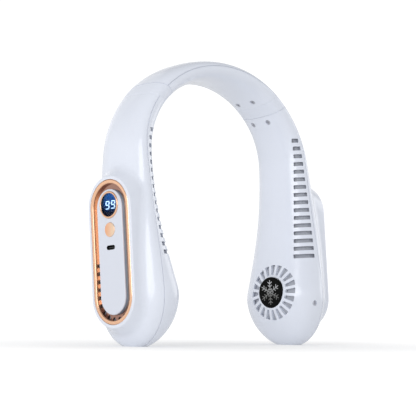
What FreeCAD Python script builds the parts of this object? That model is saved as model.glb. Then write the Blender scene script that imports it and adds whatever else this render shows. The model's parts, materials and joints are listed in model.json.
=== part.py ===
import FreeCAD, Part

import math
import os

from FreeCAD import Vector

# An electric neck fan: a U of two plastic shells that stands on its two pods, with the neck arch on top.
# Lengths are millimetres and angles are degrees. Every piece is drawn for the right arm (+X) in an upright
# frame, with the U in the XZ plane and its front towards -Y. The left arm is its mirror image.
# The finished fan leans back a little and stands on two flat soles at Z = 0.

# Stance
LEAN = 5.0

# Neck arch
ARCH_OUTER_RADIUS = 89.8
ARCH_SQUASH_SHARE = 0.84
ARCH_STEP_ANGLE = 4.0
BAND_THICKNESS = 19.5
BAND_OUTER_HALF_DEPTH = 22.6
BAND_INNER_HALF_DEPTH = 20.6
SECTION_POWER = 2.3
SECTION_POINTS = 40

# Pods at the lower ends of the arms
POD_HEIGHT = 38.0
POD_FLARE = 7.4
POD_WIDTH = 41.2
POD_OUTER_HALF_DEPTH = 36.4
POD_INNER_HALF_DEPTH = 34.2
POD_DROP = 39.8
DOME_POWER = 2.0
DOME_END_SHARE = 0.985
CAVITY_END_SHARE = 0.88
SOLE_SHIFT = 4.6
SWELL_POWER = 0.62
DOME_STATIONS = 7
ARM_STATIONS = 18

# Shells
WALL = 2.0
SEAM_INSET = 6.8
SEAM_GAP = 0.35
SEAM_DEPTH = 0.6
SEAT_GAP = 0.15
OVERRUN = 1.0
OVERRUN_ANGLE = 1.0

# Shoulder hinges, under soft sleeves
HINGE_ANGLE = 42.0
SLEEVE_ANGLE = 9.0
SLEEVE_WALL = 2.2
BLOCK_ANGLE = 8.0
BLOCK_HALF_DEPTH = 12.0
KNUCKLE_HALF_DEPTH = 4.6
EAR_THICKNESS = 3.2
EAR_RADIUS = 4.6
WASHER_THICKNESS = 1.1
WASHER_RADIUS = 4.0
PIN_RADIUS = 1.5
PIN_HEAD_RADIUS = 2.3
PIN_HEAD_THICKNESS = 0.7
RUNNING_GAP = 0.05
SIDE_GAP = 0.1

# Screws
SCREW_OFFSET_ANGLE = 9.6
SCREW_SPACING = 16.0
SCREW_HEAD_RADIUS = 2.0
SCREW_HEAD_THICKNESS = 0.8
SCREW_SHANK_RADIUS = 0.8
SCREW_LENGTH = 7.0
SCREW_RECESS_DEPTH = 1.3
SCREW_CROSS_LENGTH = 2.4
SCREW_CROSS_WIDTH = 0.5
SCREW_CROSS_DEPTH = 0.5
SCREW_GAP = 0.1
POD_SCREW_HEIGHT = 30.0
POD_SCREW_INSET = 23.0
POD_SCREW_LENGTH = 4.0
POD_BOSS_RADIUS = 2.6
POD_BOSS_LENGTH = 5.0

# Neck wire
WIRE_RADIUS = 1.5

# Raised boss and gold ring on each outer side
BOSS_HEIGHT = 5.2
BOSS_DEPTH = 16.0
BOSS_DRAFT = 0.8
BOSS_TOP_SLOPE = 8.0
BOSS_BOTTOM_SLOPE = 9.0
BOSS_BLEND = 9.0
RIM_WIDTH = 2.4
RIM_ROUND = 0.9
RING_HALF_WIDTH = 20.8
RING_LENGTH = 106.6
RING_CLEARANCE = 15.9
RING_HEADROOM = 19.0
RING_RIM = 3.0
RING_ROUND = 0.8
RING_DEPTH = 4.6
CHANNEL_DEPTH = 3.0
CHANNEL_WIDTH = 4.2
POCKET_FLOOR = 1.6
FIT_GAP = 0.1
VENT_RADIUS = 1.6
VENT_PITCH = 5.9
VENT_COUNT = 18
VENT_INSET = 0.7
VENT_RISE = 1.2

# Side panel, display, button and charging port
PANEL_PLATE = 2.4
PANEL_SKIRT = 1.2
PANEL_ROUND = 0.7
DISPLAY_EDGE = 0.3
DISPLAY_RADIUS = 10.0
DISPLAY_RIM = 1.45
DISPLAY_ROUND = 0.4
DISPLAY_PROUD = 0.6
LENS_THICKNESS = 1.8
LENS_SET_BACK = 0.2
DIGIT_THICKNESS = 0.8
DIGIT_WIDTH = 4.2
DIGIT_LENGTH = 6.2
DIGIT_STROKE = 0.8
DIGIT_SPACE = 1.9
DIGIT_SLANT = 6.0
DIGIT_GAP = 0.12
BUTTON_SPACE = 3.0
BUTTON_RADIUS = 5.3
BUTTON_PROUD = 0.5
BUTTON_ROUND = 0.35
BUTTON_TRAVEL = 0.5
FLANGE_LIP = 0.9
FLANGE_THICKNESS = 0.8
STEM_RADIUS = 1.5
SWITCH_SIZE = 5.0
SWITCH_BODY = 1.4
PLUNGER_RADIUS = 1.2
PLUNGER_HEIGHT = 0.6
PORT_SPACE = 6.5
PORT_WIDTH = 8.34
PORT_OPENING = 2.56
PORT_WALL = 0.3
PORT_SET_BACK = 0.2
PORT_BACK = 1.0
TONGUE_WIDTH = 6.6
TONGUE_THICKNESS = 0.7
TONGUE_SET_BACK = 0.7
BOARD_THICKNESS = 1.2
BOARD_LIP = 0.8
BOARD_BELOW_PORT = 9.0

# Air intake, badge and blower in each pod
GRILLE_HEIGHT = 40.4
GRILLE_FORWARD = 4.4
GRILLE_INNER_RADIUS = 13.6
GRILLE_OUTER_RADIUS = 21.4
GRILLE_SLOTS = 20
GRILLE_RIB = 2.2
GRILLE_ROUND = 0.5
BADGE_RADIUS = 12.0
BADGE_THICKNESS = 2.4
BADGE_PROUD = -0.3
BADGE_TURN = 4.0
BADGE_ROUND = 0.8
HUB_RADIUS = 13.2
HUB_DEPTH = 4.6
FLAKE_RADIUS = 9.6
FLAKE_STROKE = 0.62
FLAKE_THICKNESS = 0.3
FLAKE_BRANCH_SHARES = ((0.2, 0.2), (0.45, 0.25), (0.7, 0.27))
FLAKE_BRANCH_ANGLE = 55.0
DUCT_RADIUS = 23.4
DUCT_WALL = 1.4
DUCT_DEPTH = 11.8
HOUSING_DEPTH = 10.4
HOUSING_BACK = 1.6
OUTLET_HALF_WIDTH = 9.0
MOTOR_PLATE_RADIUS = 11.0
MOTOR_PLATE_THICKNESS = 1.2
FAN_GAP = 0.6
IMPELLER_RADIUS = 20.5
IMPELLER_DEPTH = 11.2
IMPELLER_BACK = 1.2
IMPELLER_HUB_WALL = 1.2
BLADE_COUNT = 24
BLADE_LENGTH = 6.6
BLADE_THICKNESS = 0.8
BLADE_TURN = 32.0
SHROUD_THICKNESS = 1.0
CAN_RADIUS = 11.0
CAN_WALL = 1.1
CAN_DEPTH = 10.2
AIR_GAP = 0.4
STATOR_DEPTH = 7.0
STATOR_TEETH = 9
STATOR_CORE = 2.0
TOOTH_SLOT = 2.0
TUBE_RADIUS = 3.5
BEARING_RADIUS = 2.5
BEARING_LENGTH = 7.4
SHAFT_RADIUS = 1.25
SHAFT_GAP = 0.02
SHAFT_TIP = 1.6
BATTERY_GAP = 3.0
BATTERY_HALF_WIDTH = 15.0
BATTERY_BOTTOM = 24.0
BATTERY_LENGTH = 40.0
BATTERY_ROUND = 2.0

# Air outlet slots along each arm
SLOT_COUNT = 16
SLOT_DROP = 74.5
SLOT_PITCH = 6.07
SLOT_OPENING = 3.1
SLOT_ROUND = 0.5
SLOT_LONGEST = 16.4
SLOT_SHORTEST = 5.4
SLOT_TURN = 35.0
SLOT_DEPTH = 7.0

# Worked out from the sizes above
X_AXIS = Vector(1, 0, 0)
Y_AXIS = Vector(0, 1, 0)
Z_AXIS = Vector(0, 0, 1)
ORIGIN = Vector(0, 0, 0)
RING_HEIGHT = RING_CLEARANCE + RING_LENGTH / 2
ARCH_CENTRE_HEIGHT = RING_CLEARANCE + RING_LENGTH + RING_HEADROOM
ARCH_CENTRE = Vector(0, 0, ARCH_CENTRE_HEIGHT)
ARCH_INNER_RADIUS = ARCH_OUTER_RADIUS - BAND_THICKNESS
ARCH_MID_RADIUS = ARCH_OUTER_RADIUS - BAND_THICKNESS / 2
POD_OUTER_REACH = ARCH_OUTER_RADIUS + POD_FLARE
POD_INNER_REACH = POD_OUTER_REACH - POD_WIDTH
SEAM_REACH = ARCH_OUTER_RADIUS - SEAM_INSET
NECK_END_ANGLE = HINGE_ANGLE + SLEEVE_ANGLE / 2
ARM_END_ANGLE = HINGE_ANGLE - SLEEVE_ANGLE / 2
ARM_END_PATH = ARCH_CENTRE_HEIGHT + ARCH_MID_RADIUS * math.radians(ARM_END_ANGLE)
FACE_REACH = POD_OUTER_REACH + BOSS_HEIGHT
POCKET_REACH = FACE_REACH - RING_DEPTH
BOARD_REACH = POCKET_REACH - POCKET_FLOOR
PANEL_BACK_REACH = FACE_REACH - PANEL_PLATE
RING_STRAIGHT = RING_LENGTH / 2 - RING_HALF_WIDTH
CHANNEL_OUTER = RING_HALF_WIDTH - RING_RIM
PANEL_HALF_WIDTH = CHANNEL_OUTER - CHANNEL_WIDTH
WINDOW_HALF_WIDTH = PANEL_HALF_WIDTH - PANEL_SKIRT
WINDOW_TOP = RING_HEIGHT + RING_STRAIGHT + WINDOW_HALF_WIDTH
DISPLAY_HEIGHT = WINDOW_TOP - DISPLAY_EDGE - DISPLAY_RADIUS
BUTTON_HEIGHT = DISPLAY_HEIGHT - DISPLAY_RADIUS - BUTTON_SPACE - BUTTON_RADIUS
PORT_HEIGHT = BUTTON_HEIGHT - BUTTON_RADIUS - PORT_SPACE - PORT_OPENING / 2
BOSS_HALF_WIDTH = RING_HALF_WIDTH + RIM_WIDTH
SLOT_START = ARCH_CENTRE_HEIGHT - SLOT_DROP
HOUSING_REACH = POD_INNER_REACH + DUCT_DEPTH
HOUSING_BACK_REACH = HOUSING_REACH + HOUSING_DEPTH
BATTERY_REACH = HOUSING_BACK_REACH + HOUSING_BACK
MOTOR_PLATE_REACH = HOUSING_BACK_REACH - MOTOR_PLATE_THICKNESS
FAN_BACK_REACH = MOTOR_PLATE_REACH - FAN_GAP
CAN_FRONT_REACH = FAN_BACK_REACH - CAN_DEPTH
BADGE_FACE_REACH = POD_INNER_REACH - BADGE_PROUD
HINGE_PIN_HALF_LENGTH = KNUCKLE_HALF_DEPTH + SIDE_GAP + WASHER_THICKNESS + EAR_THICKNESS


# Sections of the U

def ease(share):
    """Rise smoothly from 0 to 1 as the share does."""
    limited = min(max(share, 0.0), 1.0)
    return math.sin(math.pi / 2 * limited) ** 2


def between(start, end, share):
    """The value that lies the given share of the way from start to end."""
    return start + (end - start) * share


class Section:
    """A rounded section of the U: deeper at its outer side than at its inner side."""

    def __init__(self, outer, inner, outer_half, inner_half):
        self.outer = outer
        self.inner = inner
        self.outer_half = outer_half
        self.inner_half = inner_half

    def inset(self, wall):
        """The section of the hollow behind a wall."""
        return Section(self.outer - wall, self.inner + wall, self.outer_half - wall, self.inner_half - wall)

    def half_depth(self, across):
        """Half the depth where the section is across, from -1 at its inner side to 1 at its outer side."""
        middle = (self.outer_half + self.inner_half) / 2
        return middle + (self.outer_half - self.inner_half) / 2 * across

    def point(self, angle):
        """The reach and the depth at an angle, which starts at the outer side."""
        cosine = math.cos(angle)
        sine = math.sin(angle)
        across = math.copysign(abs(cosine) ** (2 / SECTION_POWER), cosine)
        along = math.copysign(abs(sine) ** (2 / SECTION_POWER), sine)
        reach = (self.outer + self.inner) / 2 + (self.outer - self.inner) / 2 * across
        return reach, self.half_depth(across) * along

    def front(self, reach):
        """The depth of the front face at a reach."""
        across = (reach - (self.outer + self.inner) / 2) / ((self.outer - self.inner) / 2)
        return -self.half_depth(across) * (1 - abs(across) ** SECTION_POWER) ** (1 / SECTION_POWER)

    def wire(self, place):
        """A closed smooth wire through the section, with its points put in place by a function."""
        points = []
        for index in range(SECTION_POINTS):
            points.append(place(*self.point(math.pi + 2 * math.pi * index / SECTION_POINTS)))
        curve = Part.BSplineCurve()
        parameters = [float(index) for index in range(SECTION_POINTS + 1)]
        curve.interpolate(Points=points, PeriodicFlag=True, Parameters=parameters)
        return Part.Wire([curve.toShape()])


BAND_SECTION = Section(ARCH_OUTER_RADIUS, ARCH_INNER_RADIUS, BAND_OUTER_HALF_DEPTH, BAND_INNER_HALF_DEPTH)


def radial(angle, reach, depth):
    """The point at a reach from the arch's centre, at an angle above the horizontal."""
    turn = math.radians(angle)
    height = ARCH_CENTRE_HEIGHT + ARCH_SQUASH_SHARE * reach * math.sin(turn)
    return Vector(reach * math.cos(turn), depth, height)


def ray(angle):
    """The direction from the arch's centre at an angle, which is lower than the angle as the arch is flat."""
    return radial(angle, ARCH_MID_RADIUS, 0.0).sub(ARCH_CENTRE)


def path_angle(path):
    """The angle of the arch at a place on the arm's path, which is a height up to the arch's centre."""
    return math.degrees(max(path - ARCH_CENTRE_HEIGHT, 0.0) / ARCH_MID_RADIUS)


def path_point(path, reach, depth):
    """The point at a reach and a depth in the arm's section at a place on its path."""
    if path > ARCH_CENTRE_HEIGHT:
        return radial(path_angle(path), reach, depth)
    return Vector(reach, depth, path)


def arm_section(path):
    """The arm's outer section at a place on its path, from the sole up to the shoulder."""
    if path < POD_HEIGHT:
        drop_share = (POD_HEIGHT - path) / POD_DROP
        closing = (1 - drop_share ** DOME_POWER) ** (1 / DOME_POWER)
        middle = (POD_OUTER_REACH + POD_INNER_REACH) / 2 + SOLE_SHIFT * drop_share ** 2
        reach = POD_WIDTH / 2 * closing
        outer_half = POD_OUTER_HALF_DEPTH * closing
        return Section(middle + reach, middle - reach, outer_half, POD_INNER_HALF_DEPTH * closing)
    sweep = ease((path - POD_HEIGHT) / (ARM_END_PATH - POD_HEIGHT))
    rise_share = min((path - POD_HEIGHT) / (ARCH_CENTRE_HEIGHT - POD_HEIGHT), 1.0)
    swell = ease(rise_share ** SWELL_POWER)
    return Section(between(POD_OUTER_REACH, ARCH_OUTER_RADIUS, sweep),
                   between(POD_INNER_REACH, ARCH_INNER_RADIUS, swell),
                   between(POD_OUTER_HALF_DEPTH, BAND_OUTER_HALF_DEPTH, sweep),
                   between(POD_INNER_HALF_DEPTH, BAND_INNER_HALF_DEPTH, swell))


def arm_loft(wall, end_share, top_overrun):
    """The arm's solid, drawn in by a wall, down to a share of the dome's drop."""
    wires = []
    for index in range(DOME_STATIONS):
        drop_share = end_share * math.cos(math.pi / 2 * index / DOME_STATIONS)
        path = POD_HEIGHT - POD_DROP * drop_share
        raised = path + wall * drop_share
        section = arm_section(path).inset(wall)
        wires.append(section.wire(lambda reach, depth, height=raised: Vector(reach, depth, height)))
    for index in range(ARM_STATIONS + 1):
        path = between(POD_HEIGHT, ARM_END_PATH, index / ARM_STATIONS)
        section = arm_section(path).inset(wall)
        if index == ARM_STATIONS:
            path += top_overrun
        wires.append(section.wire(lambda reach, depth, place=path: path_point(place, reach, depth)))
    return Part.makeLoft(wires, True)


def band(section, low_angle, high_angle):
    """The solid that a section sweeps round the arch between two angles."""
    steps = math.ceil((high_angle - low_angle) / ARCH_STEP_ANGLE)
    wires = []
    for index in range(steps + 1):
        angle = between(low_angle, high_angle, index / steps)
        wires.append(section.wire(lambda reach, depth, turn=angle: radial(turn, reach, depth)))
    return Part.makeLoft(wires, True)


def arch_prism(reach, half_depth):
    """A prism along Y that fills the arch's whole curve at a reach."""
    start = ARCH_CENTRE.sub(Y_AXIS * half_depth)
    curve = Part.Ellipse(start.add(X_AXIS * reach), start.add(Z_AXIS * reach * ARCH_SQUASH_SHARE), start)
    return Part.Face(Part.Wire([curve.toShape()])).extrude(Y_AXIS * 2 * half_depth)


# Plain shapes

def rod(radius, start, end):
    """A round rod from one point to another."""
    run = end.sub(start)
    return Part.makeCylinder(radius, run.Length, start, run)


def across_rod(radius, height, start, end):
    """A round rod along X at a height, between two reaches."""
    return rod(radius, Vector(start, 0, height), Vector(end, 0, height))


def across_tube(outer, inner, height, start, end):
    """A round tube along X at a height, between two reaches."""
    return across_rod(outer, height, start, end).cut(across_rod(inner, height, start, end))


def stadium_wire(half_width, straight, height, reach):
    """An upright stadium outline in the plane at a reach."""
    top = height + straight
    bottom = height - straight
    upper = Part.Arc(Vector(reach, half_width, top), Vector(reach, 0, top + half_width),
                     Vector(reach, -half_width, top)).toShape()
    lower = Part.Arc(Vector(reach, -half_width, bottom), Vector(reach, 0, bottom - half_width),
                     Vector(reach, half_width, bottom)).toShape()
    front = Part.makeLine(Vector(reach, -half_width, top), Vector(reach, -half_width, bottom))
    back = Part.makeLine(Vector(reach, half_width, bottom), Vector(reach, half_width, top))
    return Part.Wire([upper, front, lower, back])


def ring_stadium(half_width, start, end):
    """A stadium prism that is concentric with the gold ring, between two reaches."""
    face = Part.Face(stadium_wire(half_width, RING_STRAIGHT, RING_HEIGHT, start))
    return face.extrude(Vector(end - start, 0, 0))


def slab(half_depth, low, high, start, end):
    """A block that is centred in depth, between two heights and two reaches."""
    corner = Vector(start, -half_depth, low)
    return Part.makeBox(end - start, 2 * half_depth, high - low, corner)


def flat_stadium(half_length, half_height, height, start, end):
    """A prism along X with a stadium section that lies on its side."""
    straight = half_length - half_height
    core = slab(straight, height - half_height, height + half_height, start, end)
    for depth in (-straight, straight):
        core = core.fuse(rod(half_height, Vector(start, depth, height), Vector(end, depth, height)))
    return core.removeSplitter()


def forward(shape):
    """The shape moved from the middle of the pod's depth to the grille's place."""
    moved = shape.copy()
    moved.translate(Y_AXIS * -GRILLE_FORWARD)
    return moved


def faced(shape):
    """The shape turned to lie on the pod's inner face at the grille's place."""
    turned = shape.copy()
    turned.rotate(Vector(POD_INNER_REACH, 0, GRILLE_HEIGHT), Z_AXIS, BADGE_TURN)
    return forward(turned)


# Shells

def seam_region():
    """The space outside the seam, past which the outer shells lie."""
    deep = POD_OUTER_HALF_DEPTH + OVERRUN
    far = FACE_REACH + OVERRUN
    high = ARCH_CENTRE_HEIGHT + ARCH_OUTER_RADIUS + OVERRUN
    low = POD_HEIGHT - POD_DROP - OVERRUN
    straight = slab(deep, low, ARCH_CENTRE_HEIGHT, SEAM_REACH, far)
    arch = slab(deep, ARCH_CENTRE_HEIGHT, high, -far, far)
    return straight.fuse(arch.cut(arch_prism(SEAM_REACH, deep)))


def seam_groove(inset_body):
    """The fine groove that the outer shells leave along the seam, down to a body that is drawn in."""
    deep = POD_OUTER_HALF_DEPTH + OVERRUN
    low = POD_HEIGHT - POD_DROP - OVERRUN
    far = SEAM_REACH + SEAM_GAP
    straight = slab(deep, low, ARCH_CENTRE_HEIGHT, SEAM_REACH, far)
    upper = slab(deep, ARCH_CENTRE_HEIGHT, ARCH_CENTRE_HEIGHT + ARCH_OUTER_RADIUS, -far, far)
    arch = arch_prism(far, deep).cut(arch_prism(SEAM_REACH, deep)).common(upper)
    return straight.fuse(arch).cut(inset_body)


def below_sole():
    """The space under the plane that the leaning fan stands on."""
    far = FACE_REACH + OVERRUN
    deep = POD_OUTER_HALF_DEPTH + OVERRUN
    block = Part.makeBox(2 * far, 2 * deep, POD_DROP, Vector(-far, -deep, -POD_DROP))
    block.rotate(ORIGIN, X_AXIS, LEAN)
    return block


def boss():
    """The raised stadium on the outer side, which slopes out most at its lower end."""
    foot_straight = RING_STRAIGHT + (BOSS_TOP_SLOPE + BOSS_BOTTOM_SLOPE) / 2
    foot_height = RING_HEIGHT + (BOSS_TOP_SLOPE - BOSS_BOTTOM_SLOPE) / 2
    foot = stadium_wire(BOSS_HALF_WIDTH + BOSS_DRAFT, foot_straight, foot_height, FACE_REACH - BOSS_DEPTH)
    head = stadium_wire(BOSS_HALF_WIDTH, RING_STRAIGHT, RING_HEIGHT, FACE_REACH)
    return Part.makeLoft([foot, head], True, True)


def arm_body(outline):
    """The arm's solid outline with its boss blended in and the boss's rim rounded."""
    body = outline.fuse(boss())
    foot = FACE_REACH - BOSS_DEPTH
    rim_start = FACE_REACH - RIM_ROUND
    crease = [edge for edge in body.Edges if edge.BoundBox.XMin > foot and edge.BoundBox.XMax < rim_start]
    body = body.makeFillet(BOSS_BLEND, crease)
    return body.makeFillet(RIM_ROUND, [edge for edge in body.Edges if edge.BoundBox.XMin > rim_start])


def vent_places():
    """The centres of the vent holes, spaced along the lower end of the channel."""
    line = CHANNEL_OUTER + VENT_INSET - VENT_RADIUS
    bottom = RING_HEIGHT - RING_STRAIGHT
    quarter = math.pi / 2 * line
    places = []
    for index in range(VENT_COUNT):
        run = (index - (VENT_COUNT - 1) / 2) * VENT_PITCH
        side = math.copysign(1.0, run)
        if abs(run) <= quarter:
            turn = run / line
            places.append((line * math.sin(turn), bottom - line * math.cos(turn)))
        else:
            places.append((side * line, bottom + abs(run) - quarter))
    return places


def vent_holes(radius, start, end):
    """The vent holes as rods along X."""
    rods = []
    for depth, height in vent_places():
        rods.append(rod(radius, Vector(start, depth, height), Vector(end, depth, height)))
    return Part.makeCompound(rods)


def screw_seats(angle):
    """The place of each hinge screw on the inner face at an angle, as its depth and its reach there."""
    seats = []
    for depth in (-SCREW_SPACING / 2, SCREW_SPACING / 2):
        share = abs(depth) / BAND_INNER_HALF_DEPTH
        dip = BAND_THICKNESS / 2 * (1 - (1 - share ** SECTION_POWER) ** (1 / SECTION_POWER))
        seats.append((angle, depth, ARCH_INNER_RADIUS + dip))
    return seats


def screw_holes(angle):
    """Stepped holes through the inner wall for the hinge screws at an angle."""
    holes = []
    for turn, depth, reach in screw_seats(angle):
        floor = reach + SCREW_RECESS_DEPTH
        mouth = radial(turn, reach - OVERRUN, depth)
        holes.append(rod(SCREW_HEAD_RADIUS + SCREW_GAP, mouth, radial(turn, floor, depth)))
        holes.append(rod(SCREW_SHANK_RADIUS + SCREW_GAP, mouth, radial(turn, floor + WALL, depth)))
    return Part.makeCompound(holes)


def screw_shanks(angle):
    """The space that the shanks of the hinge screws at an angle take up."""
    shanks = []
    for turn, depth, reach in screw_seats(angle):
        floor = radial(turn, reach + SCREW_RECESS_DEPTH, depth)
        shanks.append(Part.makeCylinder(SCREW_SHANK_RADIUS, SCREW_LENGTH, floor, ray(turn)))
    return Part.makeCompound(shanks)


def screw(length, floor, direction):
    """A cross-head screw whose head rests on a floor and whose shank runs on in a direction."""
    head = rod(SCREW_HEAD_RADIUS, Z_AXIS * -SCREW_HEAD_THICKNESS, ORIGIN)
    body = head.fuse(rod(SCREW_SHANK_RADIUS, ORIGIN, Z_AXIS * length)).removeSplitter()
    low = -SCREW_HEAD_THICKNESS - OVERRUN
    high = SCREW_CROSS_DEPTH - SCREW_HEAD_THICKNESS
    for half_length, half_width in ((SCREW_CROSS_LENGTH / 2, SCREW_CROSS_WIDTH / 2),
                                    (SCREW_CROSS_WIDTH / 2, SCREW_CROSS_LENGTH / 2)):
        body = body.cut(slab(half_width, low, high, -half_length, half_length))
    body.Placement = FreeCAD.Placement(floor, FreeCAD.Rotation(Z_AXIS, direction))
    return body


def hinge_screws(angle):
    """The two screws that hold a hinge block at an angle."""
    screws = []
    for turn, depth, reach in screw_seats(angle):
        screws.append(screw(SCREW_LENGTH, radial(turn, reach + SCREW_RECESS_DEPTH, depth), ray(turn)))
    return screws


def pod_screw_reach():
    """How far out the pod screw sits."""
    return POD_OUTER_REACH - POD_SCREW_INSET


def pod_screw_point(behind):
    """The point on the pod screw's axis at a distance behind the pod's front face."""
    reach = pod_screw_reach()
    front = arm_section(POD_SCREW_HEIGHT).front(reach)
    return Vector(reach, front + behind, POD_SCREW_HEIGHT)


def pod_screw_rod(radius, start, end):
    """A rod on the pod screw's axis, from one distance behind the pod's front face to another."""
    return rod(radius, pod_screw_point(start), pod_screw_point(end))


def grille_slots():
    """The radial air slots in the pod's inner face, each narrower towards the badge."""
    slots = []
    step = 360.0 / GRILLE_SLOTS
    start = POD_INNER_REACH - OVERRUN
    length = HOUSING_REACH - start - OVERRUN
    for index in range(GRILLE_SLOTS):
        corners = []
        for radius, side in ((GRILLE_INNER_RADIUS, -1), (GRILLE_OUTER_RADIUS, -1),
                             (GRILLE_OUTER_RADIUS, 1), (GRILLE_INNER_RADIUS, 1)):
            half_width = radius * math.sin(math.radians(step / 2)) - GRILLE_RIB / 2
            corners.append(Vector(start, side * half_width, radius))
        wedge = Part.Face(Part.makePolygon(corners + corners[:1])).extrude(Vector(length, 0, 0))
        corner_edges = [edge for edge in wedge.Edges if edge.BoundBox.XLength > GRILLE_ROUND]
        wedge = wedge.makeFillet(GRILLE_ROUND, corner_edges)
        wedge.rotate(ORIGIN, X_AXIS, index * step)
        wedge.translate(Vector(0, 0, GRILLE_HEIGHT))
        slots.append(wedge)
    return Part.makeCompound(slots)


def outlet_slots():
    """The row of level air slots along the arm's front inner corner, longest at the bottom."""
    slots = []
    for index in range(SLOT_COUNT):
        height = SLOT_START + SLOT_PITCH * index
        length = between(SLOT_LONGEST, SLOT_SHORTEST, index / (SLOT_COUNT - 1))
        corner = Vector(-length, -SLOT_DEPTH / 2, -SLOT_OPENING / 2)
        cut = Part.makeBox(length, SLOT_DEPTH, SLOT_OPENING, corner)
        corner_edges = [edge for edge in cut.Edges if edge.BoundBox.YLength > SLOT_ROUND]
        cut = cut.makeFillet(SLOT_ROUND, corner_edges)
        cut.rotate(ORIGIN, Z_AXIS, -SLOT_TURN)
        cut.translate(front_ridge(height))
        slots.append(cut)
    return Part.makeCompound(slots)


def front_ridge(height):
    """The foremost point of the arm at a height."""
    path = height
    if height > ARCH_CENTRE_HEIGHT:
        turn = math.asin((height - ARCH_CENTRE_HEIGHT) / (ARCH_SQUASH_SHARE * ARCH_MID_RADIUS))
        path = ARCH_CENTRE_HEIGHT + ARCH_MID_RADIUS * turn
    reach, depth = arm_section(path).point(1.5 * math.pi)
    return path_point(path, reach, depth)


def arm_shells():
    """The arm's outer shell, with the boss and its pocket, and its inner shell, with grille and slots."""
    outline = arm_loft(0.0, DOME_END_SHARE, 0.0)
    hollow = arm_loft(WALL, CAVITY_END_SHARE, OVERRUN)
    boss_hollow = ring_stadium(BOSS_HALF_WIDTH - WALL, SEAM_REACH, BOARD_REACH)
    shell = arm_body(outline).cut(hollow).cut(boss_hollow).cut(below_sole())
    outer = shell.common(seam_region()).cut(seam_groove(arm_loft(SEAM_DEPTH, DOME_END_SHARE, OVERRUN)))
    outer = outer.cut(ring_stadium(RING_HALF_WIDTH + FIT_GAP, POCKET_REACH, FACE_REACH + OVERRUN))
    outer = outer.cut(ring_stadium(WINDOW_HALF_WIDTH, BOARD_REACH - OVERRUN, POCKET_REACH + OVERRUN))
    outer = outer.cut(vent_holes(VENT_RADIUS + FIT_GAP, BOARD_REACH - OVERRUN, POCKET_REACH + OVERRUN))
    inner = shell.cut(seam_region())
    duct = across_tube(DUCT_RADIUS, DUCT_RADIUS - DUCT_WALL, GRILLE_HEIGHT, POD_INNER_REACH, HOUSING_REACH)
    hub = across_rod(HUB_RADIUS, GRILLE_HEIGHT, POD_INNER_REACH, POD_INNER_REACH + HUB_DEPTH)
    inner = inner.fuse(forward(duct).fuse(faced(hub)).common(outline))
    badge_seat = BADGE_FACE_REACH + BADGE_THICKNESS
    badge_front = POD_INNER_REACH - BADGE_THICKNESS
    inner = inner.cut(faced(across_rod(BADGE_RADIUS + FIT_GAP, GRILLE_HEIGHT, badge_front, badge_seat)))
    inner = inner.cut(forward(grille_slots()))
    inner = inner.cut(outlet_slots())
    inner = inner.cut(screw_holes(HINGE_ANGLE - SCREW_OFFSET_ANGLE))
    return outer, inner


def seat_pod_screw(inner):
    """The arm's inner shell with the seat of the pod screw in its front."""
    seat = pod_screw_rod(POD_BOSS_RADIUS, 0.0, POD_BOSS_LENGTH).common(arm_loft(0.0, DOME_END_SHARE, 0.0))
    seated = inner.fuse(seat)
    seated = seated.cut(pod_screw_rod(SCREW_HEAD_RADIUS + SCREW_GAP, -OVERRUN, SCREW_RECESS_DEPTH))
    return seated.cut(pod_screw_rod(SCREW_SHANK_RADIUS, 0.0, SCREW_RECESS_DEPTH + POD_SCREW_LENGTH))


def neck_shells():
    """The neck's outer and inner shells, which run from shoulder to shoulder."""
    far_angle = 180.0 - NECK_END_ANGLE
    body = band(BAND_SECTION, NECK_END_ANGLE, far_angle)
    hollow = band(BAND_SECTION.inset(WALL), NECK_END_ANGLE - OVERRUN_ANGLE, far_angle + OVERRUN_ANGLE)
    shell = body.cut(hollow)
    outer = shell.common(seam_region())
    outer = outer.cut(seam_groove(band(BAND_SECTION.inset(SEAM_DEPTH), NECK_END_ANGLE - OVERRUN_ANGLE,
                                       far_angle + OVERRUN_ANGLE)))
    inner = shell.cut(seam_region())
    right_angle = HINGE_ANGLE + SCREW_OFFSET_ANGLE
    for angle in (right_angle, 180.0 - right_angle):
        inner = inner.cut(screw_holes(angle))
    return outer, inner


def sleeve():
    """The soft sleeve that covers the shoulder hinge, between the ends of neck and arm."""
    body = band(BAND_SECTION, ARM_END_ANGLE, NECK_END_ANGLE)
    start = ARM_END_ANGLE - OVERRUN_ANGLE
    return body.cut(band(BAND_SECTION.inset(SLEEVE_WALL), start, NECK_END_ANGLE + OVERRUN_ANGLE))


def neck_wire():
    """The wire that runs through the neck from one hinge block to the other."""
    start_angle = NECK_END_ANGLE + BLOCK_ANGLE
    end_angle = 180.0 - start_angle
    section = Section(ARCH_MID_RADIUS + WIRE_RADIUS, ARCH_MID_RADIUS - WIRE_RADIUS, WIRE_RADIUS, WIRE_RADIUS)
    return band(section, start_angle, end_angle)


# Shoulder hinges

def hinge_block(low_angle, high_angle):
    """A block that fills the hollow of the band between two angles."""
    body = band(BAND_SECTION.inset(WALL + SEAT_GAP), low_angle, high_angle)
    far = ARCH_OUTER_RADIUS
    return body.common(slab(BLOCK_HALF_DEPTH, ARCH_CENTRE_HEIGHT - far, ARCH_CENTRE_HEIGHT + far, -far, far))


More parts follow.
